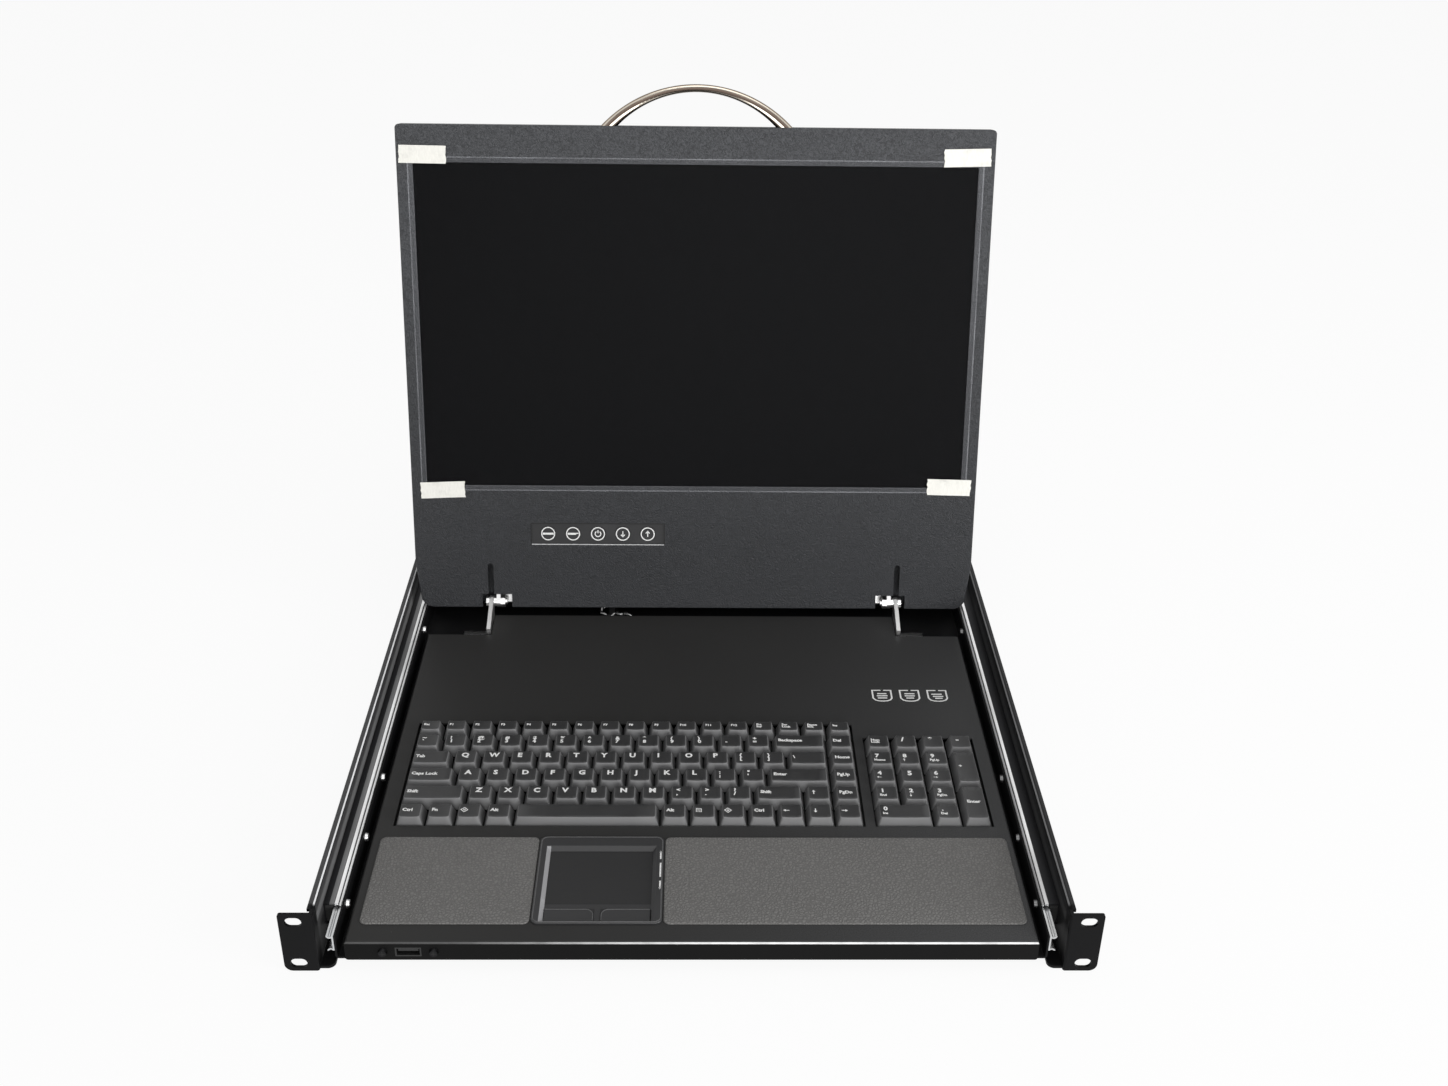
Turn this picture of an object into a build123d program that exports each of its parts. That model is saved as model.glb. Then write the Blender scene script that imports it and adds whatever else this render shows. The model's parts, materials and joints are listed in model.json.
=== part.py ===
from build123d import *
import os
from math import cos, hypot, radians, sin, tan

os.makedirs("parts", exist_ok=True)

# A one unit rack console drawer, in millimetres. The origin is the centre of the four front ear holes,
# on the back faces of the ears, with +X to the right, +Y into the rack and +Z up.

# Sheet thicknesses and running gaps
RAIL_SHEET = 2.0
PAN_SHEET = 1.2
DECK_SHEET = 1.2
LID_SHEET = 1.2
SLIDE_SHEET = 1.0
BOX_SHEET = 1.2
FOLD_RADIUS = 1.6
SLIP = 0.3
FIT = 0.1
PIN_FIT = 0.05

# Keyboard: key widths are in pitches, rows run from the front to the back
KEY_PITCH = 19.0
KEY_GAP = 0.9
KEY_HEIGHT = 8.0
KEY_TAPER = 18.0
KEY_TRAVEL = 3.0
KEY_DISH = 0.45
KEY_STOP_GAP = 0.7
STEM_SIZE = 5.0
STEM_INSERT = 2.0
FUNCTION_DEPTH = 16.0
NUMPAD_GAP = 7.4
WELL_MARGIN = 0.5
BASE_MARGIN = 3.0
MAIN_PITCHES = 16
NUMPAD_PITCHES = 4
FUNCTION_KEYS = 17
MAIN_ROWS = {
    "space": (1,) * 4 + (5,) + (1,) * 7,
    "shift": (2.25,) + (1,) * 10 + (1.75, 1, 1),
    "home": (1.75,) + (1,) * 11 + (2.25, 1),
    "tab": (1.5,) + (1,) * 12 + (1.5, 1),
    "number": (1,) * 13 + (2, 1),
    "function": (MAIN_PITCHES / FUNCTION_KEYS,) * FUNCTION_KEYS,
}
# Number pad keys as column, width and rows deep
NUMPAD_ROWS = {
    "space": ((0, 2, 1), (2, 1, 1), (3, 1, 2)),
    "shift": ((0, 1, 1), (1, 1, 1), (2, 1, 1)),
    "home": ((0, 1, 1), (1, 1, 1), (2, 1, 1), (3, 1, 2)),
    "tab": ((0, 1, 1), (1, 1, 1), (2, 1, 1)),
    "number": ((0, 1, 1), (1, 1, 1), (2, 1, 1), (3, 1, 1)),
    "function": (),
}
ROW_NAMES = tuple(MAIN_ROWS)

# Widths, from the keyboard out to the ears: a 450 mm body, 465.1 mm hole span and 482.6 mm panel
DECK_BORDER = 10.8
KEYBOARD_SHIFT = 0.9
PAN_GAP = 4.8
SLIDE_DEPTH = 10.5
RAIL_FLANGE = 2.0
RAIL_SHELF = 8.7
EAR_REACH = 16.3
EAR_HOLE_REACH = 7.55
EAR_HOLE_RISE = 31.75
EAR_SLOT_LENGTH = 10.0
EAR_SLOT_WIDTH = 7.0
EAR_LOWER_CORNER = 5.0
EAR_UPPER_CORNER = 1.5
EAR_RELIEF = 3.0
LID_SIDE_GAP = 5.0

# Heights, from the panel's lower edge up
PANEL_HEIGHT = 43.7
PAN_CLEARANCE = 10.0
DECK_RISE = 12.0
SLIDE_RISE = 11.6
LID_KEY_CLEARANCE = 2.37
CHASSIS_HEIGHT = 30.8

# Depths, from the deck's front edge back
DECK_PROUD = 1.3
PAD_SETBACK = 15.3
PAD_DEPTH = 79.0
KEYBOARD_SETBACK = 12.1
LOCK_SETBACK = 36.0
NOTCH_SETBACK = 116.0
NOTCH_DEPTH = 28.2
PIVOT_SETBACK = 3.6
LID_REAR_CLEARANCE = 18.0
CHASSIS_DEPTH = 140.0
RAIL_OVERRUN = 60.0

# Ball slides
BALL_RADIUS = 1.0
RACE_RADIUS = 1.15
BALL_RISE = 5.9
RACE_LIP_GAP = 0.4
BALLS_PER_RACE = 5
CAGE_SHEET = 0.5
CAGE_STANDOFF = 1.4
CAGE_CLEARANCE = 1.0
SLIDE_FRONT = 23.0
SLIDE_OVERLAP = 97.0
INNER_SHORTFALL = 18.0
OUTER_OVERRUN = 37.0
BUMPER_LENGTH = 8.0
SLIDE_RIVETS = 3
RIVET_RADIUS = 1.6
RIVET_HEAD_RADIUS = 3.0
RIVET_HEAD = 1.0
RIVET_INSET = 60.0

# Screws
SCREW_RADIUS = 1.5
SCREW_HEAD_RADIUS = 2.9
SCREW_HEAD = 1.8
SCREW_HEAD_TAPER = 16.0
SCREW_GRIP = 1.5
SLIDE_SCREW_FIRST = 32.0
SLIDE_SCREW_PITCH = 61.5
SLIDE_SCREW_STEPS = (0, 1, 2, 5, 6)
SLIDE_SCREWS = len(SLIDE_SCREW_STEPS)

# Rear brackets
BRACKET_REACH = 52.0
BRACKET_LAP = 128.0
BRACKET_HEIGHT = 36.0
BRACKET_SLOT_RISE = 12.5
BRACKET_SLOT_LENGTH = 90.0
BRACKET_SCREW_PITCH = 55.0
BRACKET_MARGIN = 10.0

# Front deck: pads, touchpad, lock lenses and the front socket
PAD_BORDER = 5.0
PAD_HEIGHT = 1.3
PAD_CORNER = 4.0
PAD_GAP = 0.7
TOUCH_X = -57.8
TOUCH_WIDTH = 78.5
TOUCH_RISE = 1.6
TOUCH_WELL_WIDTH = 64.5
TOUCH_WELL_DEPTH = 63.7
TOUCH_WELL_SETBACK = 3.3
TOUCH_WELL_DROP = 0.9
TOUCH_BEVEL = 2.6
TOUCH_WALL = 1.5
TOUCH_SKIRT = 3.6
TOUCH_BUTTON_DEPTH = 11.2
TOUCH_BUTTON_GAP = 3.6
TOUCH_BUTTON_PROUD = 0.5
TOUCH_BUTTON_CORNER = 5.0
TOUCH_BAR = 4.0
TOUCH_SINK = 0.3
LOCK_X = 157.5
LOCK_PITCH = 20.2
LOCK_RADIUS = 1.0
LOCK_LENS_SETBACK = 9.0
USB_X = -167.3
USB_RISE = 5.0
USB_WIDTH = 15.4
USB_HEIGHT = 6.8
USB_WALL = 0.9
USB_DEPTH = 15.0
USB_TONGUE = 1.9
USB_FLANGE_WIDTH = 38.0
USB_FLANGE_HEIGHT = 9.0
USB_SCREW_SPAN = 30.0

# Lid, in its own plane: the front face, measured up from its lower edge
LID_TILT = 12.2
LID_DEPTH = 12.8
LID_LOWER_CORNER = 9.5
LID_UPPER_CORNER = 3.0
LID_TAPER = 4.4
LID_TAPER_HEIGHT = 36.0
LID_TAPER_ROUND = 60.0
LID_EDGE = 1.0
LCD_BOTTOM = 98.7
LCD_HEIGHT = 240.4
LCD_SIDE_BORDER = 11.6
LID_TOP_BORDER = 26.3
LCD_CORNER = 1.0
LCD_CHAMFER = 0.6
SCREEN_SHEET = 1.0
SCREEN_LAP = 2.0
MODULE_LAP = 5.0
FILM_SHEET = 0.2
FILM_LAP = 4.0
TAB_SHEET = 0.25
TAB_LENGTH = 33.6
TAB_WIDTH = 12.6
OSD_X = -74.6
OSD_RISE = 60.3
OSD_WIDTH = 102.0
OSD_HEIGHT = 16.2
OSD_LAP = 2.5
OSD_SHEET = 1.2
OSD_BUTTONS = 5
OSD_END = 12.6
OSD_PITCH = (OSD_WIDTH - 2 * OSD_END) / (OSD_BUTTONS - 1)
OSD_BUTTON_RADIUS = 5.7
OSD_BUTTON_PROUD = 0.5
OSD_BUTTON_LENGTH = 3.4
OSD_TRAVEL = 0.6
OSD_BOARD = 1.6
HANDLE_SPAN = 137.9
HANDLE_LEG = 12.0
HANDLE_INNER_SPAN = HANDLE_SPAN - 2 * HANDLE_LEG
HANDLE_RISE = 29.3
HANDLE_BAR = 5.5
HANDLE_WIDTH = 9.0
HANDLE_ROUND = 2.2
HANDLE_SCREW_INSET = 2.85
HANDLE_SCREW_SPAN = HANDLE_INNER_SPAN + 2 * HANDLE_SCREW_INSET
HANDLE_SCREW_DEPTH = 5.0

# Hinges
HINGE_X = 158.2
PIVOT_UP = 4.0
PIVOT_INSET = 3.5
PIN_RADIUS = 2.5
EYE_RADIUS = 4.5
ARM_SHEET = 3.0
ARM_BASE_SETBACK = 1.8
ARM_BASE_DEPTH = 18.0
ARM_RISE = 4.0
ARM_SIDE_GAP = 0.7
FOOT_REACH = 20.0
FOOT_SHEET = 2.5
SLOT_LENGTH = 36.1
HINGE_NOTCH_HEIGHT = 11.0
HINGE_NOTCH_INNER = 16.0
HINGE_NOTCH_OUTER = 7.0
LID_EAR_SHEET = 3.0
LID_EAR_LENGTH = 30.0
LID_BRACKET_WIDTH = 14.0
LID_BRACKET_SHEET = 2.0
WASHER_SHEET = 2.2
HINGE_NUT = 3.6
HINGE_NUT_FLATS = 8.0
PIN_HEAD = 2.4
PIN_HEAD_RADIUS = 4.0

# Rear housing and what it holds
INLET_X = -150.0
INLET_RISE = 15.4
INLET_WIDTH = 27.0
INLET_HEIGHT = 20.0
INLET_FLANGE = 2.0
INLET_FLANGE_SHEET = 2.5
INLET_DEPTH = 22.0
INLET_CAVITY = 17.0
INLET_WALL = 1.5
INLET_CHAMFER = 4.5
INLET_PIN_LENGTH = 11.0
INLET_PIN_PITCH = 7.0
INLET_PIN_DROP = 2.0
INLET_PIN_WIDTH = 2.0
INLET_PIN_HEIGHT = 4.0
ROCKER_X = -112.0
ROCKER_FRAME_WIDTH = 13.0
ROCKER_FRAME_HEIGHT = 19.0
ROCKER_WIDTH = 9.4
ROCKER_HALF_HEIGHT = 7.2
ROCKER_CAVITY_HALF = 8.1
ROCKER_BODY_DEPTH = 12.0
ROCKER_TILT = 8.0
ROCKER_TRUNNION = 0.8
VIDEO_X = 70.0
VIDEO_FLANGE_WIDTH = 31.0
VIDEO_FLANGE_HEIGHT = 12.6
VIDEO_SHELL_WIDTH = 17.0
VIDEO_SHELL_HEIGHT = 8.4
VIDEO_SHELL_LENGTH = 5.8
VIDEO_BODY_DEPTH = 9.0
VIDEO_BOLT_SPAN = 25.0
VIDEO_BOLT_FLATS = 5.0
COVER_SLOTS = 12
COVER_SLOT_PITCH = 14.0
COVER_SLOT_LENGTH = 50.0
COVER_SLOT_WIDTH = 4.0
COVER_FLANGE = 9.0
BOARD_SHEET = 1.6
BOARD_RISE = 6.0
BOARD_POST = 6.0
POWER_BOARD_WIDTH = 120.0
CONTROL_BOARD_WIDTH = 110.0
BOARD_DEPTH = 86.0
BOARD_SETBACK = 22.0
CABLE_X = -66.0
CABLE_RADIUS = 2.5
CABLE_NOTCH = 9.0

# Half widths worked out from the keyboard
KEYBOARD_WIDTH = (MAIN_PITCHES + NUMPAD_PITCHES) * KEY_PITCH + NUMPAD_GAP
KEYBOARD_LEFT = KEYBOARD_SHIFT - KEYBOARD_WIDTH / 2
NUMPAD_LEFT = KEYBOARD_LEFT + MAIN_PITCHES * KEY_PITCH + NUMPAD_GAP
DECK_HALF = KEYBOARD_WIDTH / 2 + DECK_BORDER
PAN_INNER = DECK_HALF + PAN_GAP
PAN_HALF = PAN_INNER + PAN_SHEET
BALL_X = PAN_HALF + SLIDE_SHEET + RACE_RADIUS
RAIL_INNER = PAN_HALF + SLIDE_DEPTH
RAIL_WEB = RAIL_INNER + RAIL_SHEET
RAIL_OUTER = RAIL_WEB + RAIL_FLANGE
EAR_HALF = RAIL_OUTER + EAR_REACH
EAR_HOLE_X = RAIL_OUTER + EAR_HOLE_REACH
LID_HALF = RAIL_INNER - LID_SIDE_GAP

# Heights worked out from the panel
RAIL_TOP = PANEL_HEIGHT / 2
RAIL_BASE = -PANEL_HEIGHT / 2
PAN_BOTTOM = RAIL_BASE + PAN_CLEARANCE
PAN_FLOOR = PAN_BOTTOM + PAN_SHEET
DECK_TOP = PAN_FLOOR + DECK_RISE
KEYBOARD_BASE = KEY_TRAVEL + STEM_INSERT + SLIP
CAP_BOTTOM = PAN_FLOOR + KEYBOARD_BASE + KEY_TRAVEL + KEY_STOP_GAP
KEY_TOP = CAP_BOTTOM + KEY_HEIGHT
SLIDE_Z = PAN_BOTTOM + SLIDE_RISE
INNER_HALF = BALL_RISE - RACE_LIP_GAP
OUTER_HALF = BALL_RISE + RACE_RADIUS + SLIDE_SHEET
PIVOT_Z = KEY_TOP + LID_KEY_CLEARANCE + PIVOT_INSET
CHASSIS_TOP = PAN_FLOOR + CHASSIS_HEIGHT

# Depths worked out from the deck
DECK_FRONT = -RAIL_SHEET - DECK_PROUD
PAN_FRONT = DECK_FRONT + DECK_SHEET
PAD_FRONT = DECK_FRONT + PAD_SETBACK
PAD_REAR = PAD_FRONT + PAD_DEPTH
KEYBOARD_FRONT = PAD_REAR + KEYBOARD_SETBACK
NUMPAD_REAR = KEYBOARD_FRONT + (len(ROW_NAMES) - 1) * KEY_PITCH
KEYBOARD_REAR = NUMPAD_REAR + FUNCTION_DEPTH
LOCK_Y = KEYBOARD_REAR + LOCK_SETBACK
NOTCH_FRONT = KEYBOARD_REAR + NOTCH_SETBACK
DECK_REAR = NOTCH_FRONT + NOTCH_DEPTH
PIVOT_Y = DECK_REAR + PIVOT_SETBACK
CHASSIS_FRONT = PIVOT_Y + hypot(PIVOT_UP, LID_DEPTH - PIVOT_INSET) + LID_REAR_CLEARANCE
PAN_REAR = CHASSIS_FRONT + CHASSIS_DEPTH
RAIL_REAR = PAN_REAR + RAIL_OVERRUN
INNER_REAR = PAN_REAR - INNER_SHORTFALL
OUTER_REAR = PAN_REAR + OUTER_OVERRUN
TRAVEL = INNER_REAR - SLIDE_FRONT - SLIDE_OVERLAP

# Lid sizes and planes
LID_HEIGHT = LCD_BOTTOM + LCD_HEIGHT + LID_TOP_BORDER
LCD_WIDTH = 2 * (LID_HALF - LCD_SIDE_BORDER)
LCD_MIDDLE = LCD_BOTTOM + LCD_HEIGHT / 2
LID_UP = Vector(0, sin(radians(LID_TILT)), cos(radians(LID_TILT)))
LID_OUT = Vector(0, -cos(radians(LID_TILT)), sin(radians(LID_TILT)))
PIVOT = Vector(0, PIVOT_Y, PIVOT_Z)
LID_ORIGIN = PIVOT - LID_UP * PIVOT_UP + LID_OUT * PIVOT_INSET
LID_FACE = Plane(LID_ORIGIN, x_dir=(1, 0, 0), z_dir=LID_OUT)
LID_BACK_INNER = LID_SHEET - LID_DEPTH


def write(piece, label):
    """Label one finished piece and write it to its own file."""
    piece.label = label
    export_step(piece, f"parts/{label}.step")


def write_pair(right, label):
    """Write a right hand piece and its mirror image."""
    write(right, f"{label}_right")
    with BuildPart() as twin:
        add(right)
        mirror(about=Plane.YZ, mode=Mode.REPLACE)
    write(twin.part, f"{label}_left")


def block(x, y, z, mode=Mode.ADD):
    """Add or cut a block between pairs of limits along X, Y and Z."""
    with Locations(((x[0] + x[1]) / 2, (y[0] + y[1]) / 2, (z[0] + z[1]) / 2)):
        Box(x[1] - x[0], y[1] - y[0], z[1] - z[0], mode=mode)


def section(y):
    """The upright plane across the drawer at a depth, with X to the right and Z up."""
    return Plane.XZ.offset(-y)


def lid_side(x):
    """The plane across the lid at a width, centred on the pivot: up the lid and out of its face."""
    return Plane(PIVOT + Vector(x, 0, 0), x_dir=LID_UP, z_dir=(1, 0, 0))


def screw_seat(point, direction):
    """The plane under a screw head at a point, facing along the head's direction."""
    return Plane(point, z_dir=direction)


def pan_head_screw(seat, length):
    """Add a screw whose head rises from its seat and whose shank goes the other way."""
    with BuildSketch(seat) as head:
        Circle(SCREW_HEAD_RADIUS)
    extrude(head.sketch, amount=SCREW_HEAD, taper=SCREW_HEAD_TAPER)
    with BuildSketch(seat) as shank:
        Circle(SCREW_RADIUS)
    extrude(shank.sketch, amount=-length)


def screw_hole(seat, depth):
    """Cut the clearance hole of a screw through what lies under its seat."""
    with BuildSketch(seat) as hole:
        Circle(SCREW_RADIUS + FIT)
    extrude(hole.sketch, amount=-depth, mode=Mode.SUBTRACT)


def row_keys(name):
    """Give each key of one row as its middle, width and depth, the number pad included."""
    index = ROW_NAMES.index(name)
    front = KEYBOARD_FRONT + index * KEY_PITCH
    depth = FUNCTION_DEPTH if name == "function" else KEY_PITCH
    keys = []
    left = KEYBOARD_LEFT
    for pitches in MAIN_ROWS[name]:
        width = pitches * KEY_PITCH
        keys.append((left + width / 2, front + depth / 2, width, depth))
        left += width
    for column, pitches, rows in NUMPAD_ROWS[name]:
        width = pitches * KEY_PITCH
        middle = NUMPAD_LEFT + column * KEY_PITCH + width / 2
        keys.append((middle, front + rows * depth / 2, width, rows * depth))
    return keys


def lid_outline(inset):
    """Draw the lid's outline, moved in by an inset: sides that taper to large lower corners."""
    half = LID_HALF - inset
    right = ((half - LID_TAPER, inset), (half, LID_TAPER_HEIGHT), (half, LID_HEIGHT - inset))
    left = [(-x, y) for x, y in reversed(right)]
    radii = (LID_LOWER_CORNER - inset, LID_TAPER_ROUND, LID_UPPER_CORNER - inset)
    with BuildLine(mode=Mode.PRIVATE) as outline:
        FilletPolyline(*right, *left, radius=radii + radii[::-1], close=True)
    make_face(outline.line)


# Screw seats that more than one piece shares
SLIDE_SCREW_PLACES = [SLIDE_SCREW_FIRST + step * SLIDE_SCREW_PITCH for step in SLIDE_SCREW_STEPS]
SLIDE_SEATS = [
    screw_seat((side * PAN_INNER, place, SLIDE_Z), (-side, 0, 0))
    for side in (-1, 1)
    for place in SLIDE_SCREW_PLACES
]
FOOT_MIDDLE_Y = NOTCH_FRONT + ARM_BASE_SETBACK + ARM_BASE_DEPTH / 2
FOOT_FIRST_X = HINGE_X + ARM_SHEET / 2 + FOOT_REACH / 3
FOOT_SECOND_X = HINGE_X + ARM_SHEET / 2 + FOOT_REACH * 3 / 4
FOOT_SEATS = [
    screw_seat((side * x, FOOT_MIDDLE_Y, PAN_FLOOR + FOOT_SHEET), (0, 0, 1))
    for side in (-1, 1)
    for x in (FOOT_FIRST_X, FOOT_SECOND_X)
]
USB_Z = PAN_FLOOR + USB_RISE
USB_SEATS = [
    screw_seat((USB_X + side * USB_SCREW_SPAN / 2, DECK_FRONT, USB_Z), (0, -1, 0)) for side in (-1, 1)
]
CHASSIS_HALF = PAN_INNER - SCREW_HEAD - SLIP
CHASSIS_MIDDLE_Y = (CHASSIS_FRONT + PAN_REAR) / 2
COVER_TOP = CHASSIS_TOP + BOX_SHEET
COVER_SEATS = [
    screw_seat((x, y, COVER_TOP), (0, 0, 1))
    for x in (-CHASSIS_HALF + COVER_FLANGE / 2 + BOX_SHEET / 2, 0, CHASSIS_HALF - COVER_FLANGE / 2 - BOX_SHEET / 2)
    for y in (CHASSIS_FRONT + COVER_FLANGE / 2 + BOX_SHEET / 2, PAN_REAR - COVER_FLANGE / 2 - BOX_SHEET / 2)
]
BRACKET_FRONT = RAIL_REAR - BRACKET_LAP
BRACKET_REAR = RAIL_REAR + BRACKET_REACH
BRACKET_SLOT_Y = BRACKET_FRONT + BRACKET_MARGIN + BRACKET_SLOT_LENGTH / 2
BRACKET_SCREW_PLACES = [
    (BRACKET_SLOT_Y + step * BRACKET_SCREW_PITCH / 2, rise * BRACKET_SLOT_RISE)
    for step in (-1, 1)
    for rise in (-1, 1)
]
RIVET_STEP = (BRACKET_FRONT - SLIDE_FRONT - 2 * RIVET_INSET) / (SLIDE_RIVETS - 1)
RIVET_PLACES = [(SLIDE_FRONT + RIVET_INSET + i * RIVET_STEP, SLIDE_Z) for i in range(SLIDE_RIVETS)]


# Right rail: ear, web, outward top flange and inward shelf folded from one sheet
RAIL_MIDDLE = RAIL_INNER + RAIL_SHEET / 2
SHELF_EDGE = RAIL_INNER - RAIL_SHELF
with BuildPart() as rail:
    with BuildSketch(section(EAR_RELIEF)):
        with BuildLine():
            FilletPolyline(
                (RAIL_OUTER, RAIL_TOP - RAIL_SHEET / 2),
                (RAIL_MIDDLE, RAIL_TOP - RAIL_SHEET / 2),
                (RAIL_MIDDLE, RAIL_BASE + RAIL_SHEET / 2),
                (SHELF_EDGE, RAIL_BASE + RAIL_SHEET / 2),
                radius=FOLD_RADIUS,
            )
        trace(line_width=RAIL_SHEET)
    extrude(amount=EAR_RELIEF - RAIL_REAR)
    with BuildSketch(section(0)):
        with BuildLine():
            FilletPolyline(
                (RAIL_MIDDLE, RAIL_TOP),
                (RAIL_MIDDLE, RAIL_BASE + RAIL_SHEET / 2),
                (SHELF_EDGE, RAIL_BASE + RAIL_SHEET / 2),
                radius=FOLD_RADIUS,
            )
        trace(line_width=RAIL_SHEET)
    extrude(amount=-EAR_RELIEF)
    with BuildSketch(section(0)) as ear:
        with Locations(((RAIL_INNER + EAR_HALF) / 2, 0)):
            Rectangle(EAR_HALF - RAIL_INNER, PANEL_HEIGHT)
        fillet(ear.vertices().group_by(Axis.X)[-1].sort_by(Axis.Y)[0], EAR_LOWER_CORNER)
        fillet(ear.vertices().group_by(Axis.Y)[-1].sort_by(Axis.X)[-1], EAR_UPPER_CORNER)
        with Locations((EAR_HOLE_X, EAR_HOLE_RISE / 2), (EAR_HOLE_X, -EAR_HOLE_RISE / 2)):
            SlotOverall(EAR_SLOT_LENGTH, EAR_SLOT_WIDTH, mode=Mode.SUBTRACT)
    extrude(amount=RAIL_SHEET)
    front_fold = rail.edges().filter_by(Axis.Z).group_by(Axis.Y)[0].sort_by(Axis.X)[0]
    fillet(front_fold, RAIL_SHEET * 0.75)
    shelf_front = rail.edges().filter_by(Axis.Z).group_by(Axis.X)[0].sort_by(Axis.Y)[0]
    fillet(shelf_front, RAIL_SHELF / 2)
    with BuildSketch(Plane.YZ.offset(RAIL_INNER)):
        with Locations(*BRACKET_SCREW_PLACES):
            Circle(SCREW_RADIUS + FIT)
        with Locations(*RIVET_PLACES):
            Circle(RIVET_RADIUS + FIT)
    extrude(amount=RAIL_SHEET, mode=Mode.SUBTRACT)
write_pair(rail.part, "rail")

# Right rear bracket: a slotted plate outside the rail's web, folded out to an ear for the rear post
with BuildPart() as bracket:
    with BuildSketch(Plane.YZ.offset(RAIL_WEB)):
        with Locations(((BRACKET_FRONT + BRACKET_REAR) / 2, 0)):
            Rectangle(BRACKET_REAR - BRACKET_FRONT, BRACKET_HEIGHT)
        with Locations((BRACKET_SLOT_Y, BRACKET_SLOT_RISE), (BRACKET_SLOT_Y, -BRACKET_SLOT_RISE)):
            SlotOverall(BRACKET_SLOT_LENGTH, 2 * (SCREW_RADIUS + SLIP), mode=Mode.SUBTRACT)
    extrude(amount=RAIL_SHEET)
    with BuildSketch(section(BRACKET_REAR)):
        with Locations(((RAIL_WEB + EAR_HALF) / 2, 0)):
            rear_ear = Rectangle(EAR_HALF - RAIL_WEB, PANEL_HEIGHT)
        fillet(rear_ear.vertices().group_by(Axis.X)[-1], EAR_UPPER_CORNER)
        with Locations((EAR_HOLE_X, EAR_HOLE_RISE / 2), (EAR_HOLE_X, -EAR_HOLE_RISE / 2)):
            SlotOverall(EAR_SLOT_LENGTH, EAR_SLOT_WIDTH, mode=Mode.SUBTRACT)
    extrude(amount=RAIL_SHEET)
    rear_fold = bracket.edges().filter_by(Axis.Z).group_by(Axis.Y)[-1].sort_by(Axis.X)[0]
    fillet(rear_fold, RAIL_SHEET * 0.75)
write_pair(bracket.part, "rear_bracket")

# Screws that clamp both rear brackets
with BuildPart() as bracket_screws:
    for side in (-1, 1):
        for y, z in BRACKET_SCREW_PLACES:
            seat = screw_seat((side * (RAIL_WEB + RAIL_SHEET), y, z), (side, 0, 0))
            pan_head_screw(seat, 2 * RAIL_SHEET + SCREW_GRIP)
write(bracket_screws.part, "bracket_screws")

# Right outer slide member: a web on the rail, with a race above and one below
RACE_OUTER = RACE_RADIUS + SLIDE_SHEET
with BuildPart() as slide_outer:
    with BuildSketch(section(SLIDE_FRONT)):
        with Locations((BALL_X, SLIDE_Z + BALL_RISE), (BALL_X, SLIDE_Z - BALL_RISE)):
            Circle(RACE_OUTER)
            Circle(RACE_RADIUS, mode=Mode.SUBTRACT)
        with Locations((BALL_X, SLIDE_Z)):
            Rectangle(3 * RACE_OUTER, 2 * (BALL_RISE + RACE_LIP_GAP), mode=Mode.SUBTRACT)
        for turn in (-1, 1):
            flange_z = SLIDE_Z + turn * (BALL_RISE + RACE_RADIUS + SLIDE_SHEET / 2)
            with Locations(((BALL_X + RAIL_INNER) / 2, flange_z)):
                Rectangle(RAIL_INNER - BALL_X, SLIDE_SHEET)
        with Locations((RAIL_INNER - SLIDE_SHEET / 2, SLIDE_Z)):
            Rectangle(SLIDE_SHEET, 2 * OUTER_HALF)
    extrude(amount=SLIDE_FRONT - OUTER_REAR)
    with BuildSketch(Plane.YZ.offset(RAIL_INNER)):
        with Locations(*RIVET_PLACES):
            Circle(RIVET_RADIUS + FIT)
    extrude(amount=-SLIDE_SHEET, mode=Mode.SUBTRACT)
write_pair(slide_outer.part, "slide_outer")

# Rivets of the outer members, headed inside the channel and upset outside the rail
with BuildPart() as slide_rivets:
    for side in (-1, 1):
        inner_face = Plane.YZ.offset(side * (RAIL_INNER - SLIDE_SHEET))
        outer_face = Plane.YZ.offset(side * RAIL_WEB)
        with BuildSketch(inner_face):
            with Locations(*RIVET_PLACES):
                Circle(RIVET_HEAD_RADIUS)
        extrude(amount=-side * RIVET_HEAD)
        with BuildSketch(inner_face):
            with Locations(*RIVET_PLACES):
                Circle(RIVET_RADIUS)
        extrude(amount=side * (SLIDE_SHEET + RAIL_SHEET))
        with BuildSketch(outer_face):
            with Locations(*RIVET_PLACES):
                Circle((RIVET_RADIUS + RIVET_HEAD_RADIUS) / 2)
        extrude(amount=side * RIVET_HEAD)
write(slide_rivets.part, "slide_rivets")

# Rubber bumpers in the front mouth of each outer member
BUMPER_INNER = BALL_X + RACE_OUTER + SLIP
BUMPER_HALF = BALL_RISE + RACE_RADIUS - FIT
with BuildPart() as bumpers:
    for side in (-1, 1):
        limits = sorted((side * BUMPER_INNER, side * (RAIL_INNER - SLIDE_SHEET)))
        block(
            limits,
            (SLIDE_FRONT, SLIDE_FRONT + BUMPER_LENGTH),
            (SLIDE_Z - BUMPER_HALF, SLIDE_Z + BUMPER_HALF),
        )
    fillet(bumpers.edges().filter_by(Axis.X).group_by(Axis.Y)[0], BUMPER_LENGTH / 4)
write(bumpers.part, "slide_bumpers")

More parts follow.
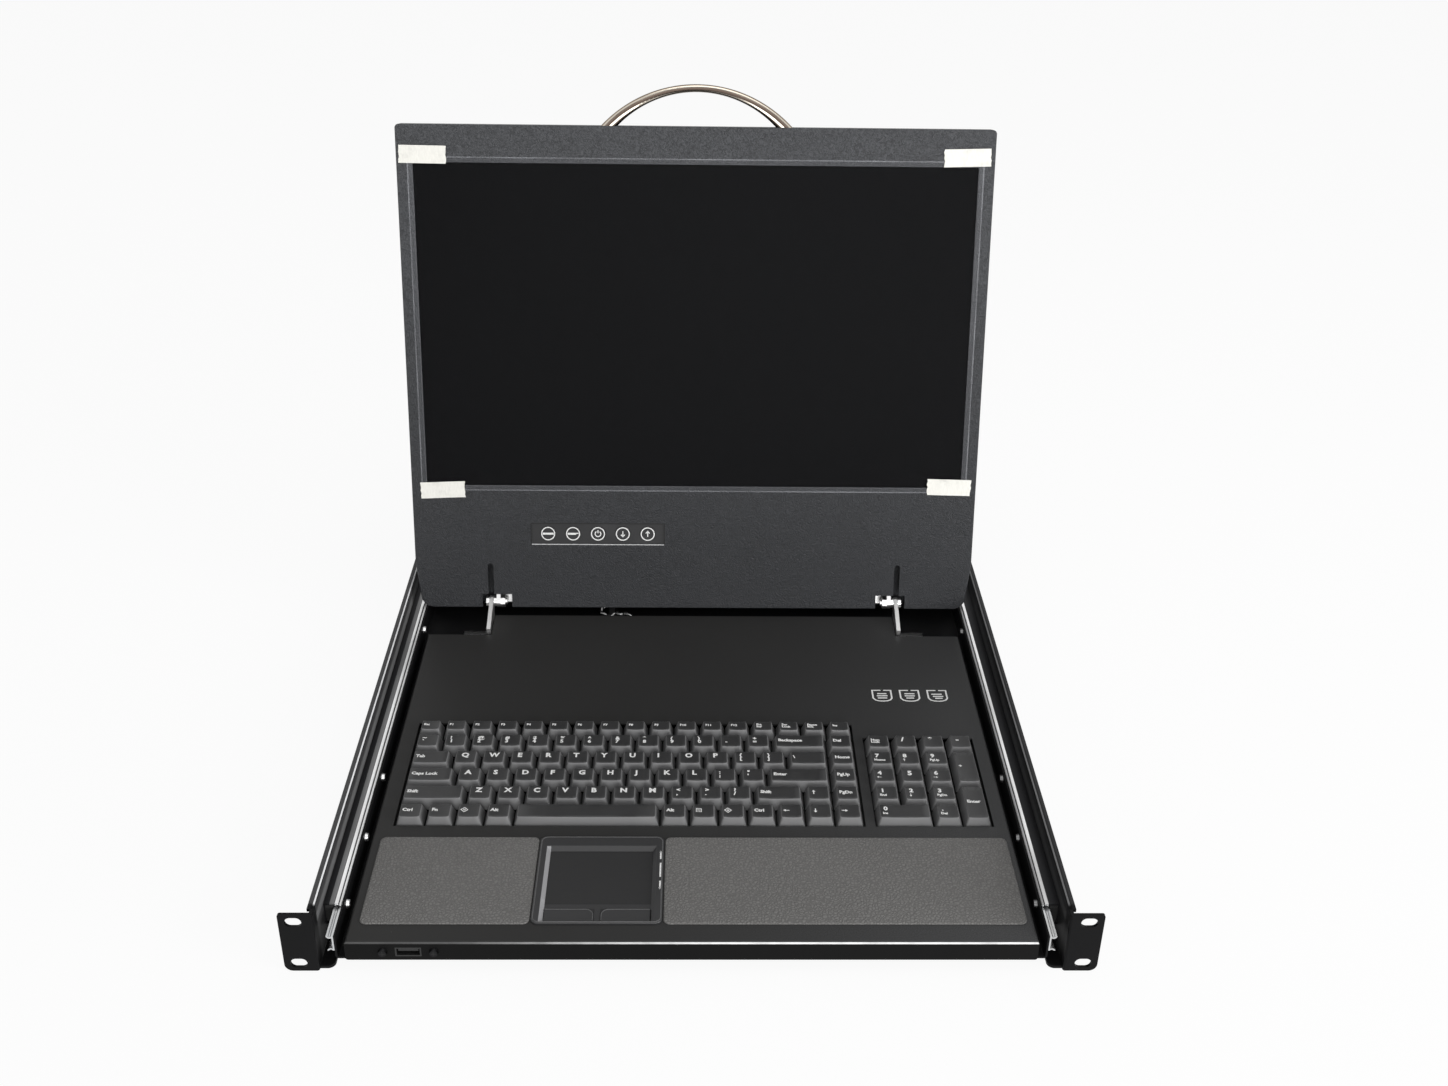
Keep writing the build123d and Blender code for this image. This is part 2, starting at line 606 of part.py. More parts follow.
# Ball cages at half travel, with a hole for each ball in the two tabs
CAGE_X = BALL_X + RACE_OUTER + CAGE_STANDOFF
CAGE_FRONT = SLIDE_FRONT + BUMPER_LENGTH + CAGE_CLEARANCE + TRAVEL / 2
CAGE_LENGTH = SLIDE_OVERLAP - BUMPER_LENGTH - 2 * CAGE_CLEARANCE
CAGE_REAR = CAGE_FRONT + CAGE_LENGTH
CAGE_TAB = BALL_X - BALL_RADIUS - CAGE_SHEET
BALL_PITCH = CAGE_LENGTH / BALLS_PER_RACE
BALL_PLACES = [CAGE_FRONT + BALL_PITCH * (i + 0.5) for i in range(BALLS_PER_RACE)]
with BuildPart() as cages:
    for side in (-1, 1):
        with BuildSketch(section(CAGE_FRONT)):
            with BuildLine():
                Polyline(
                    (side * CAGE_TAB, SLIDE_Z + BALL_RISE),
                    (side * CAGE_X, SLIDE_Z + BALL_RISE),
                    (side * CAGE_X, SLIDE_Z - BALL_RISE),
                    (side * CAGE_TAB, SLIDE_Z - BALL_RISE),
                )
            trace(line_width=CAGE_SHEET)
        extrude(amount=-CAGE_LENGTH)
        with BuildSketch(Plane.XY.offset(SLIDE_Z - OUTER_HALF)):
            with Locations(*[(side * BALL_X, y) for y in BALL_PLACES]):
                Circle(BALL_RADIUS + FIT)
        extrude(amount=2 * OUTER_HALF, mode=Mode.SUBTRACT)
write(cages.part, "ball_cages")

with BuildPart() as balls:
    for side in (-1, 1):
        for turn in (-1, 1):
            with Locations(*[(side * BALL_X, y, SLIDE_Z + turn * BALL_RISE) for y in BALL_PLACES]):
                Sphere(BALL_RADIUS)
write(balls.part, "bearing_balls")

# Right inner slide member: a web on the tray, with a groove above and one below
with BuildPart() as slide_inner:
    with BuildSketch(section(-RAIL_SHEET)):
        with Locations((BALL_X, SLIDE_Z + BALL_RISE), (BALL_X, SLIDE_Z - BALL_RISE)):
            Circle(RACE_OUTER)
            Circle(RACE_RADIUS, mode=Mode.SUBTRACT)
        for turn in (-1, 1):
            with Locations((BALL_X, SLIDE_Z + turn * (INNER_HALF + RACE_OUTER))):
                Rectangle(3 * RACE_OUTER, 2 * RACE_OUTER, mode=Mode.SUBTRACT)
        with Locations((PAN_HALF + SLIDE_SHEET / 2, SLIDE_Z)):
            Rectangle(SLIDE_SHEET, 2 * INNER_HALF)
    extrude(amount=-RAIL_SHEET - INNER_REAR)
    for seat in SLIDE_SEATS[SLIDE_SCREWS:]:
        screw_hole(seat, PAN_SHEET + SLIDE_SHEET)
write_pair(slide_inner.part, "slide_inner")

# Tray pan: a floor with two upright sides
PAN_WALL = PAN_HALF - PAN_SHEET / 2
PAN_WALL_TOP = SLIDE_Z + INNER_HALF
with BuildPart() as pan:
    with BuildSketch(section(PAN_FRONT)):
        with BuildLine():
            FilletPolyline(
                (-PAN_WALL, PAN_WALL_TOP),
                (-PAN_WALL, PAN_BOTTOM + PAN_SHEET / 2),
                (PAN_WALL, PAN_BOTTOM + PAN_SHEET / 2),
                (PAN_WALL, PAN_WALL_TOP),
                radius=FOLD_RADIUS,
            )
        trace(line_width=PAN_SHEET)
    extrude(amount=PAN_FRONT - PAN_REAR)
    for seat in SLIDE_SEATS:
        screw_hole(seat, PAN_SHEET)
    for seat in FOOT_SEATS:
        screw_hole(seat, FOOT_SHEET + PAN_SHEET)
write(pan.part, "tray_pan")

# Keyboard deck: a top, two sides and a folded front, standing on the tray floor
NOTCH_INNER = HINGE_X - ARM_SHEET / 2 - ARM_SIDE_GAP
TOUCH_WELL_FRONT = PAD_FRONT + TOUCH_WELL_SETBACK
TOUCH_WELL_REAR = TOUCH_WELL_FRONT + TOUCH_WELL_DEPTH
TOUCH_WELL_HALF = TOUCH_WELL_WIDTH / 2
TOUCH_SKIRT_HALF = TOUCH_WELL_HALF + TOUCH_WALL
LOCK_PLACES = [(LOCK_X + i * LOCK_PITCH, LOCK_Y + LOCK_LENS_SETBACK) for i in (-1, 0, 1)]
with BuildPart() as deck:
    block((-DECK_HALF, DECK_HALF), (DECK_FRONT, DECK_REAR), (PAN_FLOOR, DECK_TOP))
    block(
        (DECK_SHEET - DECK_HALF, DECK_HALF - DECK_SHEET),
        (PAN_FRONT, DECK_REAR),
        (PAN_FLOOR, DECK_TOP - DECK_SHEET),
        mode=Mode.SUBTRACT,
    )
    block((-DECK_HALF, DECK_HALF), (DECK_FRONT, PAN_FRONT), (PAN_BOTTOM, PAN_FLOOR))
    top_edges = deck.edges().group_by(Axis.Z)[-1]
    front_edge = top_edges.filter_by(Axis.X).sort_by(Axis.Y)[0]
    fillet([front_edge] + top_edges.filter_by(Axis.Y), FOLD_RADIUS)
    lower_corners = deck.edges().filter_by(Axis.Y).group_by(Axis.Z)[0]
    fillet(lower_corners, FOLD_RADIUS)
    for side in (-1, 1):
        block(
            sorted((side * NOTCH_INNER, side * (DECK_HALF + SLIP))),
            (NOTCH_FRONT, DECK_REAR),
            (PAN_FLOOR, DECK_TOP),
            mode=Mode.SUBTRACT,
        )
    with BuildSketch(Plane.XY.offset(DECK_TOP - DECK_SHEET)):
        for left, pitches, rear in (
            (KEYBOARD_LEFT, MAIN_PITCHES, KEYBOARD_REAR),
            (NUMPAD_LEFT, NUMPAD_PITCHES, NUMPAD_REAR),
        ):
            width = pitches * KEY_PITCH
            with Locations((left + width / 2, (KEYBOARD_FRONT + rear) / 2)):
                Rectangle(width + 2 * WELL_MARGIN, rear - KEYBOARD_FRONT + 2 * WELL_MARGIN)
        with Locations((TOUCH_X, (TOUCH_WELL_FRONT + TOUCH_WELL_REAR) / 2)):
            Rectangle(2 * (TOUCH_SKIRT_HALF + FIT), TOUCH_WELL_DEPTH + 2 * (TOUCH_WALL + FIT))
        with Locations(*LOCK_PLACES):
            Circle(LOCK_RADIUS + FIT)
    extrude(amount=DECK_SHEET, mode=Mode.SUBTRACT)
    with BuildSketch(section(DECK_FRONT)):
        with Locations((USB_X, USB_Z)):
            Rectangle(USB_WIDTH + 2 * FIT, USB_HEIGHT + 2 * FIT)
    extrude(amount=-DECK_SHEET, mode=Mode.SUBTRACT)
    for seat in USB_SEATS:
        screw_hole(seat, DECK_SHEET)
write(deck.part, "keyboard_deck")

# Keyboard base: one plate on the tray floor with a guide through it for every key stem
with BuildPart() as keyboard_base:
    block(
        (KEYBOARD_LEFT - BASE_MARGIN, NUMPAD_LEFT + NUMPAD_PITCHES * KEY_PITCH + BASE_MARGIN),
        (KEYBOARD_FRONT - BASE_MARGIN, KEYBOARD_REAR + BASE_MARGIN),
        (PAN_FLOOR, PAN_FLOOR + KEYBOARD_BASE),
    )
    with BuildSketch(Plane.XY.offset(PAN_FLOOR)):
        for row in ROW_NAMES:
            with Locations(*[(x, y) for x, y, width, depth in row_keys(row)]):
                Rectangle(STEM_SIZE + 2 * SLIP, STEM_SIZE + 2 * SLIP)
    extrude(amount=KEYBOARD_BASE, mode=Mode.SUBTRACT)
write(keyboard_base.part, "keyboard_base")

# Key rows: tapered caps with a dished top and a square stem in its guide
STEM_LENGTH = KEY_TRAVEL + KEY_STOP_GAP + STEM_INSERT
CAP_INSET = KEY_HEIGHT * tan(radians(KEY_TAPER))
for row in ROW_NAMES:
    with BuildPart() as keys:
        with BuildSketch(Plane.XY.offset(CAP_BOTTOM)):
            for x, y, width, depth in row_keys(row):
                with Locations((x, y)):
                    Rectangle(width - KEY_GAP, depth - KEY_GAP)
        extrude(amount=KEY_HEIGHT, taper=KEY_TAPER)
        for x, y, width, depth in row_keys(row):
            half_top = (width - KEY_GAP) / 2 - CAP_INSET
            dish_radius = (half_top**2 + KEY_DISH**2) / (2 * KEY_DISH)
            with Locations((x, y, KEY_TOP - KEY_DISH + dish_radius)):
                Cylinder(dish_radius, depth - KEY_GAP, rotation=(90, 0, 0), mode=Mode.SUBTRACT)
        with BuildSketch(Plane.XY.offset(CAP_BOTTOM)):
            with Locations(*[(x, y) for x, y, width, depth in row_keys(row)]):
                Rectangle(STEM_SIZE, STEM_SIZE)
        extrude(amount=-STEM_LENGTH)
    write(keys.part, f"keys_{row}_row")

# Touchpad frame: a rounded raised rim with a bevelled well, over a skirt that drops through the deck
TOUCH_FLOOR = DECK_TOP - TOUCH_WELL_DROP
TOUCH_MIDDLE_Y = (TOUCH_WELL_FRONT + TOUCH_WELL_REAR) / 2
TOUCH_BEVEL_DROP = TOUCH_RISE + TOUCH_WELL_DROP
BUTTON_FRONT = TOUCH_WELL_FRONT
BUTTON_REAR = BUTTON_FRONT + TOUCH_BUTTON_DEPTH
SURFACE_FRONT = BUTTON_REAR + TOUCH_BAR
BUTTON_LIMITS = (
    (TOUCH_X - TOUCH_WELL_HALF, TOUCH_X - TOUCH_BUTTON_GAP / 2),
    (TOUCH_X + TOUCH_BUTTON_GAP / 2, TOUCH_X + TOUCH_WELL_HALF),
)
with BuildPart() as touch_frame:
    with BuildSketch(Plane.XY.offset(DECK_TOP)):
        with Locations((TOUCH_X, (PAD_FRONT + PAD_REAR) / 2)):
            RectangleRounded(TOUCH_WIDTH, PAD_DEPTH, PAD_CORNER)
    extrude(amount=TOUCH_RISE)
    rim = touch_frame.faces().sort_by(Axis.Z)[-1].edges()
    fillet(rim, TOUCH_RISE / 2)
    block(
        (TOUCH_X - TOUCH_SKIRT_HALF, TOUCH_X + TOUCH_SKIRT_HALF),
        (TOUCH_WELL_FRONT - TOUCH_WALL, TOUCH_WELL_REAR + TOUCH_WALL),
        (DECK_TOP - TOUCH_SKIRT, DECK_TOP),
    )
    for grow, height in ((TOUCH_BEVEL, DECK_TOP + TOUCH_RISE), (0, TOUCH_FLOOR)):
        with BuildSketch(Plane.XY.offset(height)):
            with Locations((TOUCH_X, TOUCH_MIDDLE_Y)):
                Rectangle(TOUCH_WELL_WIDTH + 2 * grow, TOUCH_WELL_DEPTH + 2 * grow)
    loft(mode=Mode.SUBTRACT)
    block(
        (TOUCH_X - TOUCH_WELL_HALF, TOUCH_X + TOUCH_WELL_HALF),
        (SURFACE_FRONT, TOUCH_WELL_REAR),
        (DECK_TOP - TOUCH_SKIRT, TOUCH_FLOOR),
        mode=Mode.SUBTRACT,
    )
    for limits in BUTTON_LIMITS:
        block(
            limits, (BUTTON_FRONT, BUTTON_REAR), (DECK_TOP - TOUCH_SKIRT, TOUCH_FLOOR), mode=Mode.SUBTRACT
        )
write(touch_frame.part, "touchpad_frame")

with BuildPart() as touch_surface:
    block(
        (TOUCH_X - TOUCH_WELL_HALF + FIT, TOUCH_X + TOUCH_WELL_HALF - FIT),
        (SURFACE_FRONT + FIT, TOUCH_WELL_REAR - FIT),
        (DECK_TOP - TOUCH_SKIRT, TOUCH_FLOOR - TOUCH_SINK),
    )
write(touch_surface.part, "touchpad_surface")

# Touchpad buttons, each with one rounded corner towards the middle
for label, limits, corner in (("left", BUTTON_LIMITS[0], -1), ("right", BUTTON_LIMITS[1], 0)):
    with BuildPart() as touch_button:
        with BuildSketch(Plane.XY.offset(DECK_TOP - TOUCH_SKIRT)):
            with Locations(((limits[0] + limits[1]) / 2, (BUTTON_FRONT + BUTTON_REAR) / 2)):
                cap = Rectangle(limits[1] - limits[0] - 2 * SLIP, TOUCH_BUTTON_DEPTH - 2 * SLIP)
            inner_corner = cap.vertices().group_by(Axis.X)[corner].sort_by(Axis.Y)[-1]
            fillet(inner_corner, TOUCH_BUTTON_CORNER)
        extrude(amount=TOUCH_FLOOR + TOUCH_BUTTON_PROUD - DECK_TOP + TOUCH_SKIRT)
        chamfer(touch_button.faces().sort_by(Axis.Z)[-1].edges(), TOUCH_BUTTON_PROUD / 2)
    write(touch_button.part, f"touchpad_button_{label}")

# Wrist pads either side of the touchpad
PAD_LEFT_EDGE = KEYBOARD_SHIFT - DECK_HALF + PAD_BORDER
PAD_RIGHT_EDGE = KEYBOARD_SHIFT + DECK_HALF - PAD_BORDER
for label, left, right in (
    ("left", PAD_LEFT_EDGE, TOUCH_X - TOUCH_WIDTH / 2 - PAD_GAP),
    ("right", TOUCH_X + TOUCH_WIDTH / 2 + PAD_GAP, PAD_RIGHT_EDGE),
):
    with BuildPart() as pad:
        with BuildSketch(Plane.XY.offset(DECK_TOP)):
            with Locations(((left + right) / 2, (PAD_FRONT + PAD_REAR) / 2)):
                RectangleRounded(right - left, PAD_DEPTH, PAD_CORNER)
        extrude(amount=PAD_HEIGHT)
        fillet(pad.faces().sort_by(Axis.Z)[-1].edges(), PAD_HEIGHT / 2)
    write(pad.part, f"wrist_pad_{label}")

# Lock indicator lenses in the deck
with BuildPart() as lock_lenses:
    with BuildSketch(Plane.XY.offset(DECK_TOP - 2 * DECK_SHEET)):
        with Locations(*LOCK_PLACES):
            Circle(LOCK_RADIUS)
    extrude(amount=2 * DECK_SHEET + FIT)
write(lock_lenses.part, "lock_indicators")

# Front socket: a shell through the deck's front with a tongue in it, and a flange behind
with BuildPart() as usb:
    block(
        (USB_X - USB_WIDTH / 2, USB_X + USB_WIDTH / 2),
        (DECK_FRONT, DECK_FRONT + USB_DEPTH),
        (USB_Z - USB_HEIGHT / 2, USB_Z + USB_HEIGHT / 2),
    )
    block(
        (USB_X - USB_FLANGE_WIDTH / 2, USB_X + USB_FLANGE_WIDTH / 2),
        (PAN_FRONT, PAN_FRONT + BOX_SHEET),
        (USB_Z - USB_FLANGE_HEIGHT / 2, USB_Z + USB_FLANGE_HEIGHT / 2),
    )
    block(
        (USB_X - USB_WIDTH / 2 + USB_WALL, USB_X + USB_WIDTH / 2 - USB_WALL),
        (DECK_FRONT, DECK_FRONT + USB_DEPTH - USB_WALL),
        (USB_Z - USB_HEIGHT / 2 + USB_WALL, USB_Z + USB_HEIGHT / 2 - USB_WALL),
        mode=Mode.SUBTRACT,
    )
    block(
        (USB_X - USB_WIDTH / 2 + 2 * USB_WALL, USB_X + USB_WIDTH / 2 - 2 * USB_WALL),
        (DECK_FRONT + USB_WALL, DECK_FRONT + USB_DEPTH),
        (USB_Z, USB_Z + USB_TONGUE),
    )
    for seat in USB_SEATS:
        screw_hole(seat, DECK_SHEET + BOX_SHEET)
write(usb.part, "usb_socket")

# Right hinge arm: an eye on the pivot, a web down to the tray floor and a foot
ARM_INNER = HINGE_X - ARM_SHEET / 2
ARM_OUTER = HINGE_X + ARM_SHEET / 2
ARM_FRONT = NOTCH_FRONT + ARM_BASE_SETBACK
ARM_BASE_HEIGHT = DECK_TOP + ARM_RISE - PAN_FLOOR
with BuildPart() as arm:
    with BuildSketch(Plane.YZ.offset(ARM_INNER)):
        with Locations((PIVOT_Y, PIVOT_Z)):
            Circle(EYE_RADIUS)
        with Locations((ARM_FRONT + ARM_BASE_DEPTH / 2, PAN_FLOOR + ARM_BASE_HEIGHT / 2)):
            Rectangle(ARM_BASE_DEPTH, ARM_BASE_HEIGHT)
        make_hull()
        with Locations((PIVOT_Y, PIVOT_Z)):
            Circle(PIN_RADIUS + PIN_FIT, mode=Mode.SUBTRACT)
    extrude(amount=ARM_SHEET)
    block(
        (ARM_INNER, ARM_OUTER + FOOT_REACH),
        (ARM_FRONT, ARM_FRONT + ARM_BASE_DEPTH),
        (PAN_FLOOR, PAN_FLOOR + FOOT_SHEET),
    )
    for seat in FOOT_SEATS[2:]:
        screw_hole(seat, FOOT_SHEET)
write_pair(arm.part, "hinge_arm")

# Rear housing: four walls on the tray floor with a flange inside their top edge
WALL_INNER = CHASSIS_HALF - BOX_SHEET
INLET_Z = PAN_FLOOR + INLET_RISE
with BuildPart() as chassis:
    block((-CHASSIS_HALF, CHASSIS_HALF), (CHASSIS_FRONT, PAN_REAR), (PAN_FLOOR, CHASSIS_TOP))
    block(
        (-WALL_INNER, WALL_INNER),
        (CHASSIS_FRONT + BOX_SHEET, PAN_REAR - BOX_SHEET),
        (PAN_FLOOR, CHASSIS_TOP - BOX_SHEET),
        mode=Mode.SUBTRACT,
    )
    block(
        (COVER_FLANGE - CHASSIS_HALF, CHASSIS_HALF - COVER_FLANGE),
        (CHASSIS_FRONT + COVER_FLANGE, PAN_REAR - COVER_FLANGE),
        (CHASSIS_TOP - BOX_SHEET, CHASSIS_TOP),
        mode=Mode.SUBTRACT,
    )
    with BuildSketch(section(PAN_REAR)):
        with Locations((INLET_X, INLET_Z)):
            Rectangle(INLET_WIDTH + 2 * FIT, INLET_HEIGHT + 2 * FIT)
        with Locations((ROCKER_X, INLET_Z)):
            Rectangle(ROCKER_FRAME_WIDTH + 2 * FIT, ROCKER_FRAME_HEIGHT + 2 * FIT)
        with Locations((VIDEO_X, INLET_Z)):
            Rectangle(VIDEO_SHELL_WIDTH + 2 * FIT, VIDEO_SHELL_HEIGHT + 2 * FIT)
    extrude(amount=BOX_SHEET, mode=Mode.SUBTRACT)
    block(
        (CABLE_X - CABLE_NOTCH / 2, CABLE_X + CABLE_NOTCH / 2),
        (CHASSIS_FRONT, CHASSIS_FRONT + BOX_SHEET),
        (PAN_FLOOR, PAN_FLOOR + CABLE_NOTCH),
        mode=Mode.SUBTRACT,
    )
    for seat in COVER_SEATS:
        screw_hole(seat, 2 * BOX_SHEET)
write(chassis.part, "rear_housing")

# Rear cover with two banks of vent slots
with BuildPart() as cover:
    block((-CHASSIS_HALF, CHASSIS_HALF), (CHASSIS_FRONT, PAN_REAR), (CHASSIS_TOP, COVER_TOP))
    with BuildSketch(Plane.XY.offset(COVER_TOP)):
        with Locations((0, CHASSIS_MIDDLE_Y)):
            with GridLocations(COVER_SLOT_PITCH, 0, COVER_SLOTS, 1):
                SlotOverall(COVER_SLOT_LENGTH, COVER_SLOT_WIDTH, rotation=90)
    extrude(amount=-BOX_SHEET, mode=Mode.SUBTRACT)
    for seat in COVER_SEATS:
        screw_hole(seat, BOX_SHEET)
write(cover.part, "rear_cover")

# Drawer screws: front socket, slide members, hinge feet and rear cover
with BuildPart() as drawer_screws:
    for seat in USB_SEATS:
        pan_head_screw(seat, DECK_SHEET + BOX_SHEET + SCREW_GRIP)
    for seat in SLIDE_SEATS:
        pan_head_screw(seat, PAN_SHEET + SLIDE_SHEET)
    for seat in FOOT_SEATS:
        pan_head_screw(seat, FOOT_SHEET + PAN_SHEET + SCREW_GRIP)
    for seat in COVER_SEATS:
        pan_head_screw(seat, 2 * BOX_SHEET + SCREW_GRIP)
write(drawer_screws.part, "drawer_screws")

# Power inlet: a flanged body with a keyed cavity and three blades
CAVITY_MOUTH = PAN_REAR + INLET_FLANGE_SHEET
with BuildPart() as inlet:
    with BuildSketch(section(PAN_REAR)):
        with Locations((INLET_X, INLET_Z)):
            RectangleRounded(INLET_WIDTH + 2 * INLET_FLANGE, INLET_HEIGHT + 2 * INLET_FLANGE, INLET_FLANGE)
    extrude(amount=-INLET_FLANGE_SHEET)
    block(
        (INLET_X - INLET_WIDTH / 2, INLET_X + INLET_WIDTH / 2),
        (PAN_REAR - INLET_DEPTH, PAN_REAR),
        (INLET_Z - INLET_HEIGHT / 2, INLET_Z + INLET_HEIGHT / 2),
    )
    with BuildSketch(section(CAVITY_MOUTH)):
        with Locations((INLET_X, INLET_Z)):
            mouth = Rectangle(INLET_WIDTH - 2 * INLET_WALL, INLET_HEIGHT - 2 * INLET_WALL)
        chamfer(mouth.vertices().group_by(Axis.Y)[-1], INLET_CHAMFER)
    extrude(amount=INLET_CAVITY, mode=Mode.SUBTRACT)
    with BuildSketch(section(CAVITY_MOUTH - INLET_CAVITY)):
        for step, drop in ((-1, -INLET_PIN_DROP), (0, INLET_PIN_DROP), (1, -INLET_PIN_DROP)):
            with Locations((INLET_X + step * INLET_PIN_PITCH, INLET_Z + drop)):
                Rectangle(INLET_PIN_WIDTH, INLET_PIN_HEIGHT)
    extrude(amount=-INLET_PIN_LENGTH)
write(inlet.part, "power_inlet")

# Power switch: a flanged frame and the rocker that tips in it on two trunnions
ROCKER_PIVOT = Vector(ROCKER_X, PAN_REAR, INLET_Z)
with BuildPart() as rocker_frame:
    with BuildSketch(section(PAN_REAR)):
        with Locations((ROCKER_X, INLET_Z)):
            Rectangle(ROCKER_FRAME_WIDTH + 2 * INLET_FLANGE, ROCKER_FRAME_HEIGHT + 2 * INLET_FLANGE)
    extrude(amount=-INLET_FLANGE_SHEET / 2)
    block(
        (ROCKER_X - ROCKER_FRAME_WIDTH / 2, ROCKER_X + ROCKER_FRAME_WIDTH / 2),
        (PAN_REAR - ROCKER_BODY_DEPTH, PAN_REAR),
        (INLET_Z - ROCKER_FRAME_HEIGHT / 2, INLET_Z + ROCKER_FRAME_HEIGHT / 2),
    )
    block(
        (ROCKER_X - ROCKER_WIDTH / 2 - SLIP, ROCKER_X + ROCKER_WIDTH / 2 + SLIP),
        (PAN_REAR - ROCKER_CAVITY_HALF, PAN_REAR + INLET_FLANGE_SHEET),
        (INLET_Z - ROCKER_CAVITY_HALF, INLET_Z + ROCKER_CAVITY_HALF),
        mode=Mode.SUBTRACT,
    )
    with BuildSketch(Plane.YZ.offset(ROCKER_X)):
        with Locations((PAN_REAR, INLET_Z)):
            Circle(ROCKER_TRUNNION + PIN_FIT)
    extrude(amount=ROCKER_WIDTH / 2 + 2 * SLIP + FIT, both=True, mode=Mode.SUBTRACT)
write(rocker_frame.part, "switch_frame")

with BuildPart() as rocker:
    tilt = radians(ROCKER_TILT)
    tipped = Plane(ROCKER_PIVOT, x_dir=(0, cos(tilt), sin(tilt)), z_dir=(1, 0, 0))
    with BuildSketch(tipped.offset(-ROCKER_WIDTH / 2)):
        with BuildLine():
            Polyline(
                (INLET_FLANGE_SHEET, ROCKER_HALF_HEIGHT),
                (INLET_FLANGE_SHEET / 2, 0),
                (INLET_FLANGE_SHEET, -ROCKER_HALF_HEIGHT),
                (-SLIP, -ROCKER_HALF_HEIGHT),
                (-ROCKER_HALF_HEIGHT * 0.7, -ROCKER_HALF_HEIGHT * 0.3),
                (-ROCKER_HALF_HEIGHT * 0.7, ROCKER_HALF_HEIGHT * 0.3),
                (-SLIP, ROCKER_HALF_HEIGHT),
                close=True,
            )
        make_face()
    extrude(amount=ROCKER_WIDTH)
    with BuildSketch(Plane.YZ.offset(ROCKER_X)):
        with Locations((PAN_REAR, INLET_Z)):
            Circle(ROCKER_TRUNNION)
    extrude(amount=ROCKER_WIDTH / 2 + 2 * SLIP, both=True)
write(rocker.part, "power_rocker")

# Video socket: a flange, a tapered shell and two hexagonal bolts
with BuildPart() as video:
    with BuildSketch(section(PAN_REAR)):
        with Locations((VIDEO_X, INLET_Z)):
            RectangleRounded(VIDEO_FLANGE_WIDTH, VIDEO_FLANGE_HEIGHT, INLET_FLANGE)
    extrude(amount=-BOX_SHEET)
    with BuildSketch(section(PAN_REAR + BOX_SHEET)):
        with Locations((VIDEO_X, INLET_Z)):
            shell = Trapezoid(VIDEO_SHELL_WIDTH, VIDEO_SHELL_HEIGHT, 80)
        fillet(shell.vertices(), INLET_FLANGE)
    extrude(amount=-VIDEO_SHELL_LENGTH)
    with BuildSketch(section(PAN_REAR + BOX_SHEET)):
        for turn in (-1, 1):
            with Locations((VIDEO_X + turn * VIDEO_BOLT_SPAN / 2, INLET_Z)):
                RegularPolygon(VIDEO_BOLT_FLATS / 2, 6, major_radius=False)
    extrude(amount=-VIDEO_SHELL_LENGTH)
    block(
        (VIDEO_X - VIDEO_SHELL_WIDTH / 2, VIDEO_X + VIDEO_SHELL_WIDTH / 2),
        (PAN_REAR - VIDEO_BODY_DEPTH, PAN_REAR),
        (INLET_Z - VIDEO_SHELL_HEIGHT / 2, INLET_Z + VIDEO_SHELL_HEIGHT / 2),
    )
write(video.part, "video_socket")

# Power and control boards on posts, each with its larger components
BOARD_FRONT = CHASSIS_FRONT + BOARD_SETBACK
BOARD_BOTTOM = PAN_FLOOR + BOARD_RISE
BOARD_TOP = BOARD_BOTTOM + BOARD_SHEET
POWER_BOARD_X = INLET_X + POWER_BOARD_WIDTH / 4
CONTROL_BOARD_X = VIDEO_X


def board(middle_x, width, components):
    """Add a board on four posts, with components as offset, size and height on its top."""
    middle_y = BOARD_FRONT + BOARD_DEPTH / 2
    block(
        (middle_x - width / 2, middle_x + width / 2),
        (BOARD_FRONT, BOARD_FRONT + BOARD_DEPTH),
        (BOARD_BOTTOM, BOARD_TOP),
    )
    with BuildSketch(Plane.XY.offset(PAN_FLOOR)) as posts:
        with Locations((middle_x, middle_y)):
            with GridLocations(width - 2 * BOARD_POST, BOARD_DEPTH - 2 * BOARD_POST, 2, 2):
                RegularPolygon(BOARD_POST / 2, 6)
    extrude(posts.sketch, amount=BOARD_RISE)
    for x, y, size_x, size_y, height in components:
        block(
            (middle_x + x - size_x / 2, middle_x + x + size_x / 2),
            (middle_y + y - size_y / 2, middle_y + y + size_y / 2),
            (BOARD_TOP, BOARD_TOP + height),
        )


with BuildPart() as power_board:
    board(
        POWER_BOARD_X,
        POWER_BOARD_WIDTH,
        ((-30, -10, 32, 28, 16), (14, -18, 18, 18, 18), (38, -18, 18, 18, 18), (20, 20, 60, 10, 15)),
    )
write(power_board.part, "power_board")

CABLE_Z = PAN_FLOOR + CABLE_RADIUS + FIT
with BuildPart() as control_board:
    board(CONTROL_BOARD_X, CONTROL_BOARD_WIDTH, ((0, -6, 26, 26, 2), (-36, 10, 16, 12, 3), (34, -20, 22, 8, 7)))
write(control_board.part, "control_board")

# Keyboard cable along the tray floor, from the keyboard base through the notch in the rear housing
CABLE_REAR = CHASSIS_FRONT + BOARD_SETBACK / 2
with BuildPart() as cable:
    with BuildSketch(section(KEYBOARD_REAR + BASE_MARGIN)):
        with Locations((CABLE_X, CABLE_Z)):
            Circle(CABLE_RADIUS)
    extrude(amount=KEYBOARD_REAR + BASE_MARGIN - CABLE_REAR)
write(cable.part, "keyboard_cable")


# Lid openings that more than one lid piece shares
SLOT_RADIUS = ARM_SHEET / 2 + ARM_SIDE_GAP


